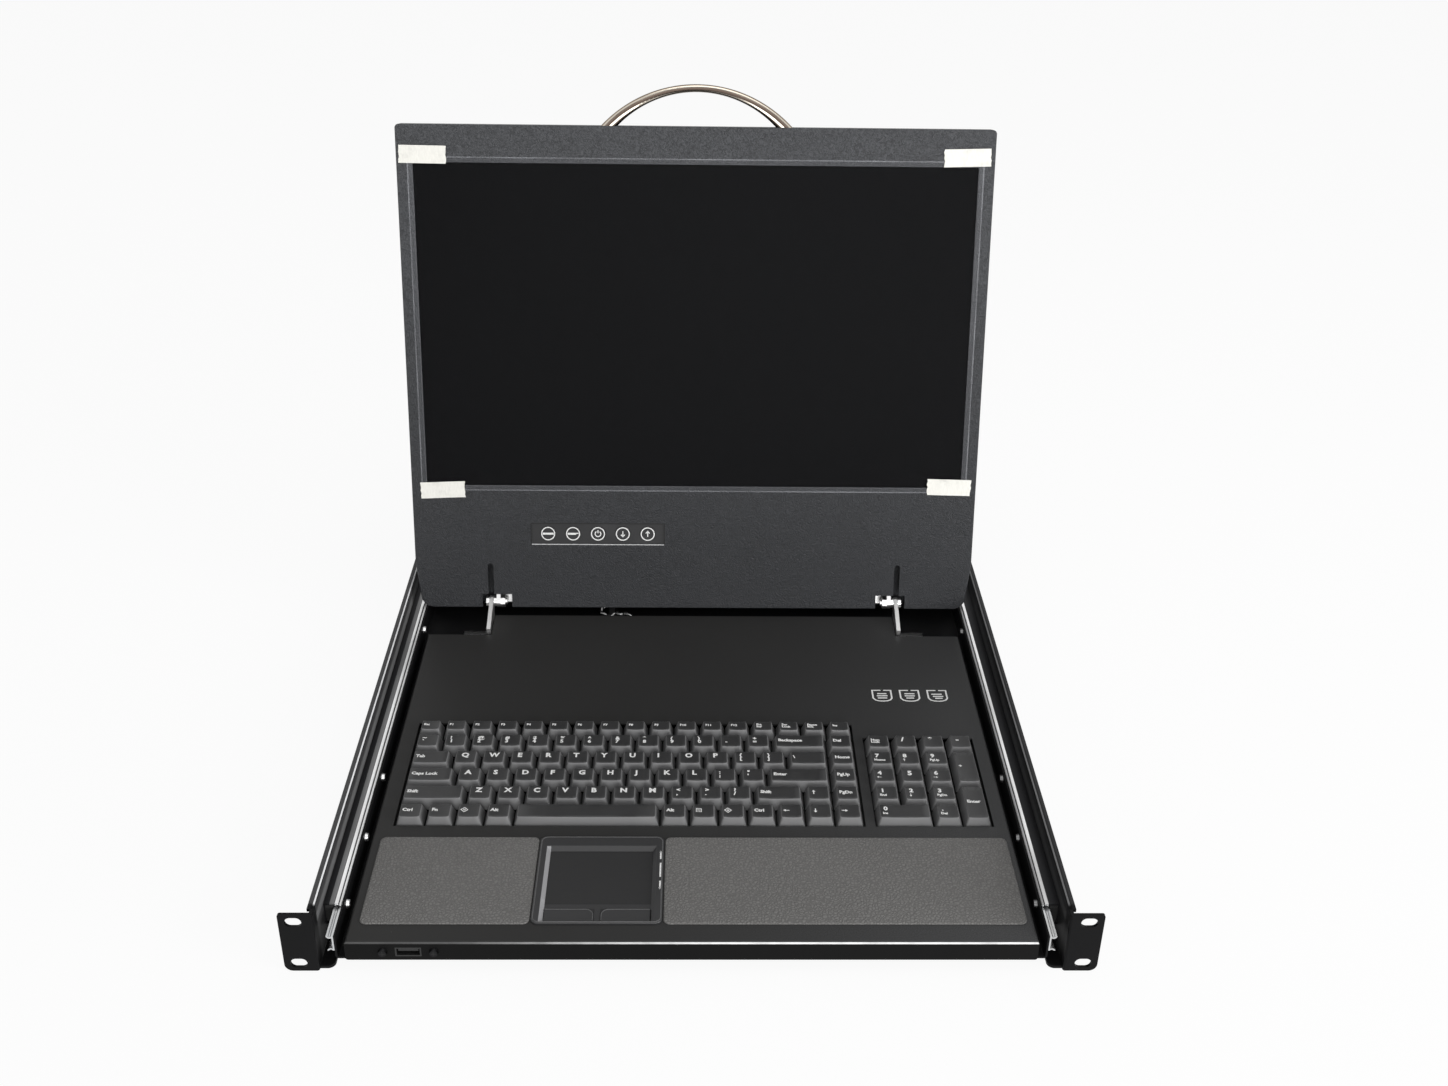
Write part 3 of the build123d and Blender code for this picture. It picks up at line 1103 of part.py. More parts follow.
def hinge_openings(depth):
    """Cut the two hinge notches and arm slots into a lid piece, from its face inwards."""
    with BuildSketch(LID_FACE) as openings:
        for side in (-1, 1):
            notch = sorted((side * (HINGE_X - HINGE_NOTCH_INNER), side * (HINGE_X + HINGE_NOTCH_OUTER)))
            with Locations(((notch[0] + notch[1]) / 2, HINGE_NOTCH_HEIGHT / 2)):
                Rectangle(notch[1] - notch[0], HINGE_NOTCH_HEIGHT)
            with Locations((side * HINGE_X, (SLOT_LENGTH - SLOT_RADIUS) / 2)):
                Rectangle(2 * SLOT_RADIUS, SLOT_LENGTH - SLOT_RADIUS)
            with Locations((side * HINGE_X, SLOT_LENGTH - SLOT_RADIUS)):
                Circle(SLOT_RADIUS)
    extrude(openings.sketch, amount=-depth, mode=Mode.SUBTRACT)


HANDLE_SEATS = [
    screw_seat(
        LID_ORIGIN + LID_UP * (LID_HEIGHT - LID_SHEET) - LID_OUT * (LID_DEPTH / 2)
        + Vector(side * HANDLE_SCREW_SPAN / 2, 0, 0),
        -LID_UP,
    )
    for side in (-1, 1)
]

# Lid back: a pan with rounded corners, open towards the bezel
with BuildPart() as lid_back:
    with BuildSketch(LID_FACE.offset(-LID_DEPTH)) as back_outline:
        lid_outline(0)
    extrude(amount=LID_DEPTH - LID_SHEET)
    back_rim = lid_back.faces().sort_by(lambda face: (face.center() - LID_ORIGIN).dot(LID_OUT))[0].edges()
    fillet(back_rim, LID_EDGE)
    with BuildSketch(LID_FACE.offset(LID_BACK_INNER)):
        lid_outline(LID_SHEET)
    extrude(amount=LID_DEPTH, mode=Mode.SUBTRACT)
    hinge_openings(LID_DEPTH - LID_SHEET)
    for seat in HANDLE_SEATS:
        screw_hole(seat, LID_SHEET)
write(lid_back.part, "lid_back")

# Lid bezel: the front sheet with its screen and button openings
with BuildPart() as bezel:
    with BuildSketch(LID_FACE.offset(-LID_SHEET)):
        lid_outline(0)
        with Locations((0, LCD_MIDDLE)):
            RectangleRounded(LCD_WIDTH, LCD_HEIGHT, LCD_CORNER, mode=Mode.SUBTRACT)
        with Locations((OSD_X, OSD_RISE)):
            RectangleRounded(OSD_WIDTH, OSD_HEIGHT, LCD_CORNER, mode=Mode.SUBTRACT)
    extrude(amount=LID_SHEET)
    front_face = bezel.faces().sort_by(lambda face: (face.center() - LID_ORIGIN).dot(LID_OUT))[-1]
    chamfer(front_face.edges(), LCD_CHAMFER)
    hinge_openings(LID_SHEET)
write(bezel.part, "lid_bezel")

# Screen sheet behind the bezel, and the display module that fills the lid behind it
SCREEN_BACK = LID_SHEET + SCREEN_SHEET
with BuildPart() as screen:
    with BuildSketch(LID_FACE.offset(-SCREEN_BACK)):
        with Locations((0, LCD_MIDDLE)):
            Rectangle(LCD_WIDTH + 2 * SCREEN_LAP, LCD_HEIGHT + 2 * SCREEN_LAP)
    extrude(amount=SCREEN_SHEET)
write(screen.part, "lcd_screen")

with BuildPart() as module:
    with BuildSketch(LID_FACE.offset(LID_BACK_INNER)):
        with Locations((0, LCD_MIDDLE)):
            Rectangle(LCD_WIDTH + 2 * MODULE_LAP, LCD_HEIGHT + 2 * MODULE_LAP)
    extrude(amount=-LID_BACK_INNER - SCREEN_BACK)
write(module.part, "lcd_module")

# Clear film over the screen opening, and the tape tabs at its corners
FILM_HALF_WIDTH = LCD_WIDTH / 2 + FILM_LAP
FILM_HALF_HEIGHT = LCD_HEIGHT / 2 + FILM_LAP
with BuildPart() as film:
    with BuildSketch(LID_FACE):
        with Locations((0, LCD_MIDDLE)):
            Rectangle(2 * FILM_HALF_WIDTH, 2 * FILM_HALF_HEIGHT)
    extrude(amount=FILM_SHEET)
write(film.part, "screen_film")

# Each tab as its side, its end, how far its middle lies past the film's corner and its skew
TAB_PLACES = (
    (-1, 1, -11.5, 1.3, -0.6),
    (1, 1, -12.5, 2.6, 1.6),
    (-1, -1, -16.3, -0.4, 2.2),
    (1, -1, -13.2, -4.6, -1.2),
)
with BuildPart() as tabs:
    with BuildSketch(LID_FACE.offset(FILM_SHEET)):
        for side, end, across, along, skew in TAB_PLACES:
            middle_x = side * (FILM_HALF_WIDTH + across)
            middle_h = LCD_MIDDLE + end * (FILM_HALF_HEIGHT + along)
            with Locations(Location((middle_x, middle_h, 0), (0, 0, skew))):
                Rectangle(TAB_LENGTH, TAB_WIDTH)
    extrude(amount=TAB_SHEET)
write(tabs.part, "film_tabs")

# Button strip, its five buttons and the board behind them
OSD_PLACES = [(OSD_X + (i - (OSD_BUTTONS - 1) / 2) * OSD_PITCH, OSD_RISE) for i in range(OSD_BUTTONS)]
STRIP_BACK = LID_SHEET + OSD_SHEET
BUTTON_FACE = OSD_BUTTON_PROUD - LID_SHEET
BUTTON_BACK = BUTTON_FACE - OSD_BUTTON_LENGTH
with BuildPart() as strip:
    with BuildSketch(LID_FACE.offset(-STRIP_BACK)):
        with Locations((OSD_X, OSD_RISE)):
            Rectangle(OSD_WIDTH + 2 * OSD_LAP, OSD_HEIGHT + 2 * OSD_LAP)
        with Locations(*OSD_PLACES):
            Circle(OSD_BUTTON_RADIUS + SLIP, mode=Mode.SUBTRACT)
    extrude(amount=OSD_SHEET)
write(strip.part, "button_strip")

for number, place in enumerate(OSD_PLACES, start=1):
    with BuildPart() as button:
        with BuildSketch(LID_FACE.offset(BUTTON_BACK)):
            with Locations(place):
                Circle(OSD_BUTTON_RADIUS)
        extrude(amount=OSD_BUTTON_LENGTH)
    write(button.part, f"screen_button_{number}")

BOARD_FACE = BUTTON_BACK - OSD_TRAVEL - SLIP
with BuildPart() as button_board:
    with BuildSketch(LID_FACE.offset(BOARD_FACE)):
        with Locations((OSD_X, OSD_RISE)):
            Rectangle(OSD_WIDTH, OSD_HEIGHT)
    extrude(amount=-OSD_BOARD)
    with BuildSketch(LID_FACE.offset(BOARD_FACE - OSD_BOARD)):
        with Locations((OSD_X, OSD_RISE)):
            with GridLocations(OSD_WIDTH - 2 * BOARD_POST, 0, 2, 1):
                RegularPolygon(BOARD_POST / 2, 6)
    extrude(amount=LID_BACK_INNER - BOARD_FACE + OSD_BOARD)
write(button_board.part, "button_board")

# Bow handle on the lid's top edge, and the screws that hold it from inside
with BuildPart() as handle:
    with BuildSketch(LID_FACE.offset(-LID_DEPTH / 2 - HANDLE_WIDTH / 2)):
        with BuildLine():
            ThreePointArc(
                (-HANDLE_SPAN / 2, LID_HEIGHT), (0, LID_HEIGHT + HANDLE_RISE), (HANDLE_SPAN / 2, LID_HEIGHT)
            )
            Line((HANDLE_SPAN / 2, LID_HEIGHT), (HANDLE_INNER_SPAN / 2, LID_HEIGHT))
            ThreePointArc(
                (HANDLE_INNER_SPAN / 2, LID_HEIGHT),
                (0, LID_HEIGHT + HANDLE_RISE - HANDLE_BAR),
                (-HANDLE_INNER_SPAN / 2, LID_HEIGHT),
            )
            Line((-HANDLE_INNER_SPAN / 2, LID_HEIGHT), (-HANDLE_SPAN / 2, LID_HEIGHT))
        make_face()
    extrude(amount=HANDLE_WIDTH)
    fillet(handle.edges().filter_by(GeomType.CIRCLE), HANDLE_ROUND)
    for seat in HANDLE_SEATS:
        screw_hole(seat, LID_SHEET + HANDLE_SCREW_DEPTH)
write(handle.part, "lid_handle")

with BuildPart() as handle_screws:
    for seat in HANDLE_SEATS:
        pan_head_screw(seat, LID_SHEET + HANDLE_SCREW_DEPTH - SLIP)
write(handle_screws.part, "handle_screws")

# Lid hinge brackets: a base on the lid's back and an ear round the pivot, inside each arm
LID_EAR_OUTER = ARM_INNER - WASHER_SHEET - 2 * FIT
LID_EAR_INNER = LID_EAR_OUTER - LID_EAR_SHEET
EAR_BASE = LID_BACK_INNER + PIVOT_INSET
EAR_BASE_MIDDLE = LID_EAR_LENGTH / 2 - PIVOT_UP + LID_SHEET + SLIP
with BuildPart() as lid_brackets:
    for side in (-1, 1):
        ear_limits = sorted((side * LID_EAR_INNER, side * LID_EAR_OUTER))
        with BuildSketch(lid_side(ear_limits[0])):
            Circle(EYE_RADIUS)
            with Locations((EAR_BASE_MIDDLE, EAR_BASE + LID_BRACKET_SHEET / 2)):
                Rectangle(LID_EAR_LENGTH, LID_BRACKET_SHEET)
            make_hull()
            Circle(PIN_RADIUS + PIN_FIT, mode=Mode.SUBTRACT)
        extrude(amount=LID_EAR_SHEET)
        base_limits = sorted((side * (LID_EAR_OUTER - LID_BRACKET_WIDTH), side * LID_EAR_OUTER))
        with BuildSketch(lid_side(base_limits[0])):
            with Locations((EAR_BASE_MIDDLE, EAR_BASE + LID_BRACKET_SHEET / 2)):
                Rectangle(LID_EAR_LENGTH, LID_BRACKET_SHEET)
        extrude(amount=LID_BRACKET_WIDTH)
write(lid_brackets.part, "lid_hinge_brackets")

# Hinge bolts: a head outside each arm and a shank through arm, washers, ear and nut
PIN_SEAT = ARM_OUTER + SLIP
NUT_OUTER = LID_EAR_INNER
PIN_TIP = NUT_OUTER - HINGE_NUT - SCREW_GRIP
with BuildPart() as hinge_bolts:
    for side in (-1, 1):
        with BuildSketch(Plane.YZ.offset(side * PIN_SEAT)):
            with Locations((PIVOT_Y, PIVOT_Z)):
                Circle(PIN_HEAD_RADIUS)
        extrude(amount=side * PIN_HEAD)
        with BuildSketch(Plane.YZ.offset(side * PIN_SEAT)):
            with Locations((PIVOT_Y, PIVOT_Z)):
                Circle(PIN_RADIUS)
        extrude(amount=side * (PIN_TIP - PIN_SEAT))
write(hinge_bolts.part, "hinge_bolts")

with BuildPart() as hinge_nuts:
    for side in (-1, 1):
        with BuildSketch(Plane.YZ.offset(side * (NUT_OUTER - HINGE_NUT))):
            with Locations((PIVOT_Y, PIVOT_Z)):
                RegularPolygon(HINGE_NUT_FLATS / 2, 6, major_radius=False)
                Circle(PIN_RADIUS + PIN_FIT, mode=Mode.SUBTRACT)
        extrude(amount=side * HINGE_NUT)
        with BuildSketch(Plane.YZ.offset(side * LID_EAR_OUTER)):
            with Locations((PIVOT_Y, PIVOT_Z)):
                Circle(PIN_HEAD_RADIUS)
                Circle(PIN_RADIUS + PIN_FIT, mode=Mode.SUBTRACT)
        extrude(amount=side * WASHER_SHEET)
write(hinge_nuts.part, "hinge_nuts")
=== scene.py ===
"""Dresses a one unit rack console drawer: its finishes, key tops, printed marks, tape, film and studio."""

import json
import logging
import math
import random
from abc import ABC, abstractmethod
from collections.abc import Iterable, Mapping, Sequence
from dataclasses import dataclass, field
from enum import Enum
from typing import Any

import bmesh
import bpy
from mathutils import Matrix, Vector


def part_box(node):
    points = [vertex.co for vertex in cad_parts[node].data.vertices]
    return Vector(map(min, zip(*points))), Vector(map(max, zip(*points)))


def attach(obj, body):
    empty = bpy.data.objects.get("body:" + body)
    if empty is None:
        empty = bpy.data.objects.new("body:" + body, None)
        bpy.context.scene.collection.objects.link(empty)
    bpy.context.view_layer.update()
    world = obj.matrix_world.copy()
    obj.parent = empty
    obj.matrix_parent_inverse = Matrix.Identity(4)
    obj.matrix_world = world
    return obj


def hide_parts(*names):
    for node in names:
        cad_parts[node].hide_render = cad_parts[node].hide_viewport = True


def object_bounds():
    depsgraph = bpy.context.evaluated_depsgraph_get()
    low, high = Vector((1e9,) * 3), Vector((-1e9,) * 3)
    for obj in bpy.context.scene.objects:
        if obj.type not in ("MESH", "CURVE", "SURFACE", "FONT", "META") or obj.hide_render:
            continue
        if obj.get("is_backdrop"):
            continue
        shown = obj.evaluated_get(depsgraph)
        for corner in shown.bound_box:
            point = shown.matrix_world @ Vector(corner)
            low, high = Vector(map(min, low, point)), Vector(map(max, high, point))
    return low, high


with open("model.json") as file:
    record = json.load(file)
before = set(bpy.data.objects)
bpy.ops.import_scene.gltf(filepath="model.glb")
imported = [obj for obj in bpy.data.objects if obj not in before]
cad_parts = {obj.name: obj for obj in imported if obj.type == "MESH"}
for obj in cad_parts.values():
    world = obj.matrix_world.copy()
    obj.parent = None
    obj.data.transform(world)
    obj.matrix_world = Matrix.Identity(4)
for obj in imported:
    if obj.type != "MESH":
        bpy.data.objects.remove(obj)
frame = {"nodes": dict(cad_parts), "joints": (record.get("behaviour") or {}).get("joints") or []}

log = logging.getLogger("console_drawer")
MM = 0.001
Colour = tuple[float, float, float]
Point = tuple[float, float]
Flat = tuple[list[Point], list[list[int]]]
X_AXIS = Vector((1.0, 0.0, 0.0))
Y_AXIS = Vector((0.0, 1.0, 0.0))
Z_AXIS = Vector((0.0, 0.0, 1.0))
WHITE = (1.0, 1.0, 1.0, 1.0)
WELD = 1e-6
WELD_FINE = 1e-7


class Body(str, Enum):
    """The moving bodies that scene pieces ride on."""

    RAILS = "rails"
    DRAWER = "drawer"
    LID = "lid"


class Side(Enum):
    """The object's two sides, by their way along X."""

    LEFT = -1
    RIGHT = 1

    def of(self, node: str) -> str:
        """Name this side's copy of a node."""
        return f"{node}_{self.name.lower()}"


class Legend(Enum):
    """How a key is printed: each line's type size and its place from the left and the middle, in mm."""

    PAIR = ((4.6, 1.4, 2.6), (4.6, 1.4, -1.2))
    NUMBER = ((5.27, 1.2, 2.3), (3.0, 0.3, -2.2))
    STACK = ((3.0, 0.0, 1.4), (3.0, 0.0, -0.9))
    LETTER = ((6.2, 2.2, 2.0),)
    WORD = ((4.0, 0.0, 0.6),)
    SMALL = ((3.0, 0.0, 0.6),)


class Symbol(Enum):
    """The signs drawn on keys, by the words that stand for them in a row."""

    RIGHT = "^right"
    UP = "^up"
    LEFT = "^left"
    DOWN = "^down"
    MENU = "^menu"
    MARK = "^mark"
    NONE = "^none"


class Signal:
    """One value in a shader tree. Arithmetic on it adds Math nodes."""

    def __init__(self, tree: "ShaderTree", socket: bpy.types.NodeSocket) -> None:
        """Wrap a socket.

        Args:
            tree: the tree that the socket belongs to.
            socket: an output socket.
        """
        self.tree = tree
        self.socket = socket

    def _math(self, operation: str, first: Any, second: Any = 0.0) -> "Signal":
        """Add one Math node.

        Args:
            operation: the Math node's operation.
            first: a signal or a number.
            second: a signal or a number.

        Returns:
            The node's value.
        """
        values = {"Value": first, "Value_001": second}
        made = self.tree.node("ShaderNodeMath", {"operation": operation}, values)
        return Signal(self.tree, made.outputs[0])

    def __add__(self, other: Any) -> "Signal":
        """Add a value."""
        return self._math("ADD", self, other)

    def __radd__(self, other: Any) -> "Signal":
        """Add to a number."""
        return self._math("ADD", other, self)

    def __sub__(self, other: Any) -> "Signal":
        """Take a value away."""
        return self._math("SUBTRACT", self, other)

    def __rsub__(self, other: Any) -> "Signal":
        """Take this from a number."""
        return self._math("SUBTRACT", other, self)

    def __mul__(self, other: Any) -> "Signal":
        """Multiply by a value."""
        return self._math("MULTIPLY", self, other)

    def __rmul__(self, other: Any) -> "Signal":
        """Multiply a number."""
        return self._math("MULTIPLY", other, self)

    def above(self, low: float, high: float) -> "Signal":
        """Rise smoothly from 0 at low to 1 at high.

        Args:
            low: the value that gives 0.
            high: the value that gives 1.

        Returns:
            The eased value.
        """
        made = self.tree.node(
            "ShaderNodeMapRange",
            {"interpolation_type": "SMOOTHSTEP"},
            {"Value": self, "From Min": low, "From Max": high, "To Min": 0.0, "To Max": 1.0},
        )
        return Signal(self.tree, made.outputs[0])

    def most(self, other: Any) -> "Signal":
        """Keep the larger of two values."""
        return self._math("MAXIMUM", self, other)

    def size(self) -> "Signal":
        """The value without its sign."""
        return self._math("ABSOLUTE", self)

    def within(self, low: float, high: float, soft: float) -> "Signal":
        """1 between two limits and 0 outside them.

        Args:
            low: the lower limit.
            high: the upper limit.
            soft: how far the value takes to change.

        Returns:
            The eased value.
        """
        return self.above(low - soft, low) * (1 - self.above(high, high + soft))


class ShaderTree:
    """A material's node tree, with the few helpers that the finishes share."""

    NOISE_ROUGHNESS = 0.55

    def __init__(self, owner: Any) -> None:
        """Start an empty tree.

        Args:
            owner: a material or a world.
        """
        owner.use_nodes = True
        self.tree = owner.node_tree
        self.tree.nodes.clear()

    def node(
        self, kind: str, settings: Mapping[str, Any] | None = None, inputs: Mapping[str, Any] | None = None
    ) -> bpy.types.Node:
        """Add a node.

        Args:
            kind: the node's type.
            settings: properties that are set first; stops holds a ramp's places and colours.
            inputs: values or signals by socket identifier or name.

        Returns:
            The new node.
        """
        made = self.tree.nodes.new(kind)
        for name, value in (settings or {}).items():
            if name == "stops":
                self._set_stops(made, value)
            else:
                setattr(made, name, value)
        for name, value in (inputs or {}).items():
            socket = self._socket(made.inputs, name)
            if isinstance(value, Signal):
                self.tree.links.new(value.socket, socket)
            else:
                socket.default_value = value
        return made

    @staticmethod
    def _set_stops(ramp: bpy.types.Node, stops: Sequence[tuple[float, Colour]]) -> None:
        """Set a colour ramp's stops.

        Args:
            ramp: the ramp's node.
            stops: places from 0 to 1 with their colours.
        """
        elements = ramp.color_ramp.elements
        while len(elements) < len(stops):
            elements.new(0.5)
        for element, (place, colour) in zip(elements, stops):
            element.position = place
            element.color = (*colour, 1.0)

    @staticmethod
    def _socket(sockets: Iterable[bpy.types.NodeSocket], name: str) -> bpy.types.NodeSocket:
        """Find a socket by its identifier, or else by its name.

        Args:
            sockets: a node's inputs or outputs.
            name: the identifier or name.

        Returns:
            The socket.
        """
        found = [socket for socket in sockets if socket.identifier == name]
        found += [socket for socket in sockets if socket.name == name and socket.enabled]
        return found[0]

    def signal(
        self, kind: str, output: str, settings: Mapping[str, Any], inputs: Mapping[str, Any]
    ) -> Signal:
        """Add a node and take one of its outputs.

        Args:
            kind: the node's type.
            output: the output's identifier or name.
            settings: properties that are set first.
            inputs: values or signals by socket.

        Returns:
            That output.
        """
        made = self.node(kind, settings, inputs)
        return Signal(self, self._socket(made.outputs, output))

    def place(self, stretch: Vector | tuple[float, float, float] = (1.0, 1.0, 1.0)) -> Signal:
        """Object coordinates, stretched along each axis."""
        where = self.signal("ShaderNodeTexCoord", "Object", {}, {})
        return self.signal("ShaderNodeMapping", "Vector", {}, {"Vector": where, "Scale": stretch})

    def noise(self, where: Signal, scale: float, detail: float = 2.0, curl: float = 0.0) -> Signal:
        """Noise from 0 to 1.

        Args:
            where: the coordinates.
            scale: cells per metre.
            detail: octaves.
            curl: how far the pattern is bent.

        Returns:
            The noise.
        """
        values = {"Vector": where, "Scale": scale, "Detail": detail, "Distortion": curl}
        values["Roughness"] = self.NOISE_ROUGHNESS
        return self.signal("ShaderNodeTexNoise", "Fac", {}, values)

    def along(self, way: Vector) -> Signal:
        """Measure how far a point lies along a direction from the frame's origin.

        Args:
            way: the direction, of length 1.

        Returns:
            The distance in metres.
        """
        where = self.signal("ShaderNodeTexCoord", "Object", {}, {})
        inputs = {"Vector": where, "Vector_001": tuple(way)}
        return self.signal("ShaderNodeVectorMath", "Value", {"operation": "DOT_PRODUCT"}, inputs)

    def mark(self, name: str) -> Signal:
        """A value that the mesh carries at its points."""
        return self.signal("ShaderNodeAttribute", "Fac", {"attribute_name": name}, {})

    def blend(self, share: Signal, under: Signal | Colour, over: Colour) -> Signal:
        """Lay a colour over another.

        Args:
            share: how much of the upper one shows, from 0 to 1.
            under: a plain or varying colour.
            over: a plain colour.

        Returns:
            The mixed colour.
        """
        low = under if isinstance(under, Signal) else (*under, 1.0)
        inputs = {"Factor_Float": share, "A_Color": low, "B_Color": (*over, 1.0)}
        return self.signal("ShaderNodeMix", "Result_Color", {"data_type": "RGBA"}, inputs)

    def tint(self, share: Signal, colour: Colour, dark: float, light: float) -> Signal:
        """Let a colour vary between two factors of itself.

        Args:
            share: 0 for the darker and 1 for the lighter.
            colour: the colour.
            dark: the lower factor.
            light: the upper factor.

        Returns:
            The varying colour.
        """
        ends = [tuple(min(1.0, channel * factor) for channel in colour) for factor in (dark, light)]
        return self.blend(share, *ends)

    def bump(self, height: Signal, depth: float) -> Signal:
        """Turn a height from 0 to 1 into a normal.

        Args:
            height: the height.
            depth: how deep the relief is, in metres.

        Returns:
            The normal.
        """
        inputs = {"Height": height, "Strength": 1.0, "Distance": depth}
        return self.signal("ShaderNodeBump", "Normal", {}, inputs)

    def surface(self, constants: Mapping[str, Any], **varying: Signal) -> None:
        """Close the tree with a principled surface.

        Args:
            constants: plain values by socket.
            varying: signals for Base_Color, Roughness, Metallic, Alpha or Normal.
        """
        linked = {name.replace("_", " "): signal for name, signal in varying.items()}
        shader = self.signal("ShaderNodeBsdfPrincipled", "BSDF", {}, {**constants, **linked})
        self.node("ShaderNodeOutputMaterial", {}, {"Surface": shader})


def plain(specular: float) -> dict[str, float]:
    """The constants of a surface that is no metal."""
    return {"Metallic": 0.0, "Specular IOR Level": specular}


@dataclass(frozen=True)
class Finish(ABC):
    """One procedural material."""

    name: str

    @abstractmethod
    def coat(self, tree: ShaderTree) -> None:
        """Fill the material's empty tree."""

    def build(self) -> bpy.types.Material:
        """Make the material.

        Returns:
            The new material.
        """
        material = bpy.data.materials.new(self.name)
        self.coat(ShaderTree(material))
        return material


@dataclass(frozen=True)
class Paint(Finish):
    """Paint or powder coat on folded sheet, with its peel, its tone, a little dust and, where asked, painted
    light and shade.
    """

    colour: Colour
    roughness: float
    peel_scale: float
    peel_depth: float
    specular: float = 0.3
    dust: float = 0.2
    tone: float = 0.18
    curl: float = 0.0
    # The front fold's place: in front of and below it the face gets painted shade, and along it a painted
    # highlight.
    fold: tuple[float, float] | None = None
    # The rail web's distance from the middle; when given, the rail gets painted highlights.
    web: float | None = None
    # A painted light gradient: the direction and the two distances over which the coat turns paler.
    painted_light_gradient: tuple[Vector, float, float] | None = None
    cloud_scale: float = 9.0
    speck_scale: float = 620.0
    patch_scale: float = 14.0
    front: tuple[float, float] = (-3.2 * MM, -2.6 * MM)
    fold_soft: float = 0.3 * MM
    fine_ratio: float = 3.1
    fold_highlight_patch_scale: float = 60.0
    fold_highlight_reach: tuple[float, float] = (-160.0 * MM, 40.0 * MM)
    rail_middle: tuple[float, float] = (-20.0 * MM, 20.0 * MM)
    rail_fold: tuple[float, float] = (0.5 * MM, 1.2 * MM)
    rail_fold_soft: float = 0.1 * MM
    rail_top: tuple[float, float] = (21.2 * MM, 21.7 * MM)
    rail_wall: float = 0.1 * MM
    rail_wall_soft: float = 0.05 * MM
    rail_wall_highlight: tuple[float, float, float] = (10.5 * MM, 13.0 * MM, 3.5 * MM)
    rail_start: tuple[float, float] = (6.0 * MM, 9.0 * MM)
    dust_colour: Colour = (0.25, 0.25, 0.25)
    painted_light_colour: Colour = (0.34, 0.35, 0.37)
    front_shade_colour: Colour = (0.001, 0.001, 0.001)
    fold_highlight_colour: Colour = (0.8, 0.8, 0.8)
    rail_highlight_colour: Colour = (0.8, 0.8, 0.81)

    def _fold_highlight(self, tree: ShaderTree) -> Signal:
        """Find the front fold, where a painted highlight runs along the edge.

        Args:
            tree: the material's tree.

        Returns:
            A share from 0 to 1, larger to the right, where the key light stands.
        """
        front, top = self.fold
        edge = 1 - tree.along(Y_AXIS).above(front - self.fold_soft, front)
        edge = edge * tree.along(Z_AXIS).above(top, top + self.fold_soft)
        patchy = tree.noise(tree.place((1.0, 0.2, 0.2)), self.fold_highlight_patch_scale, 3.0).above(0.25, 0.6)
        return edge * (tree.along(X_AXIS).above(*self.fold_highlight_reach) * 0.93 + 0.07) * (patchy * 0.4 + 0.6)

    def _rail_highlights(self, tree: ShaderTree) -> Signal:
        """Find the painted highlights on a rail's fold, the top of its flange and the inside of its web.

        Args:
            tree: the material's tree.

        Returns:
            A share from 0 to 1, larger on the left rail.
        """
        across, height = tree.along(X_AXIS), tree.along(Z_AXIS)
        left = 1 - across.above(*self.rail_middle)
        reach = across.size()
        limits = [self.web + place for place in self.rail_fold]
        fold = reach.within(*limits, self.rail_fold_soft) * (0.3 + left * 0.6)
        flange = height.above(*self.rail_top) * (0.03 + left * 0.04)
        wall = reach.within(self.web - self.rail_wall, self.web + self.rail_wall, self.rail_wall_soft)
        wall = wall * (0.05 + height.within(*self.rail_wall_highlight) * 0.12) * (0.3 + left * 0.7)
        return fold.most(flange).most(wall) * tree.along(Y_AXIS).above(*self.rail_start)

    def coat(self, tree: ShaderTree) -> None:
        """Fill the tree.

        Args:
            tree: the material's empty tree.
        """
        where = tree.place()
        peel = tree.noise(where, self.peel_scale, 3.0, self.curl)
        fine = tree.noise(where, self.peel_scale * self.fine_ratio, 2.0)
        cloud = tree.noise(where, self.cloud_scale, 3.0)
        specks = tree.noise(where, self.speck_scale, 1.0).above(0.76, 0.82)
        specks = specks * tree.noise(where, self.patch_scale, 1.0).above(0.45, 0.75)
        tone = cloud * 0.4 + fine * 0.2 + peel.above(0.3, 0.7) * 0.4
        base = tree.tint(tone, self.colour, 1 - self.tone, 1 + self.tone)
        coated = tree.blend(specks * self.dust, base, self.dust_colour)
        rough = self.roughness + (cloud - 0.5) * 0.12 + specks * 0.2
        # Painted light: the coat turns paler along one direction, standing in for light that falls more
        # strongly there.
        if self.painted_light_gradient is not None:
            up, low, high = self.painted_light_gradient
            lit = tree.along(up).above(low, high) * 0.12 * (0.3 + peel.above(0.35, 0.65) * 0.7)
            coated = tree.blend(lit, coated, self.painted_light_colour)
        if self.fold is not None:
            # Painted shade: the front face under the fold is darkened almost to black, then a painted
            # highlight is laid along the fold.
            front = 1 - tree.along(Y_AXIS).above(*self.front)
            coated = tree.blend(front * 0.95, coated, self.front_shade_colour)
            coated = tree.blend(self._fold_highlight(tree), coated, self.fold_highlight_colour)
            rough = rough + front * 0.3
        # Painted highlights on the rail's fold, flange top and web, standing in for light that they catch.
        if self.web is not None:
            light = self._rail_highlights(tree) * (0.7 + cloud * 0.6)
            coated = tree.blend(light, coated, self.rail_highlight_colour)
        relief = peel * 0.7 + fine * 0.3
        tree.surface(
            plain(self.specular),
            Base_Color=coated,
            Roughness=rough,
            Normal=tree.bump(relief, self.peel_depth),
        )


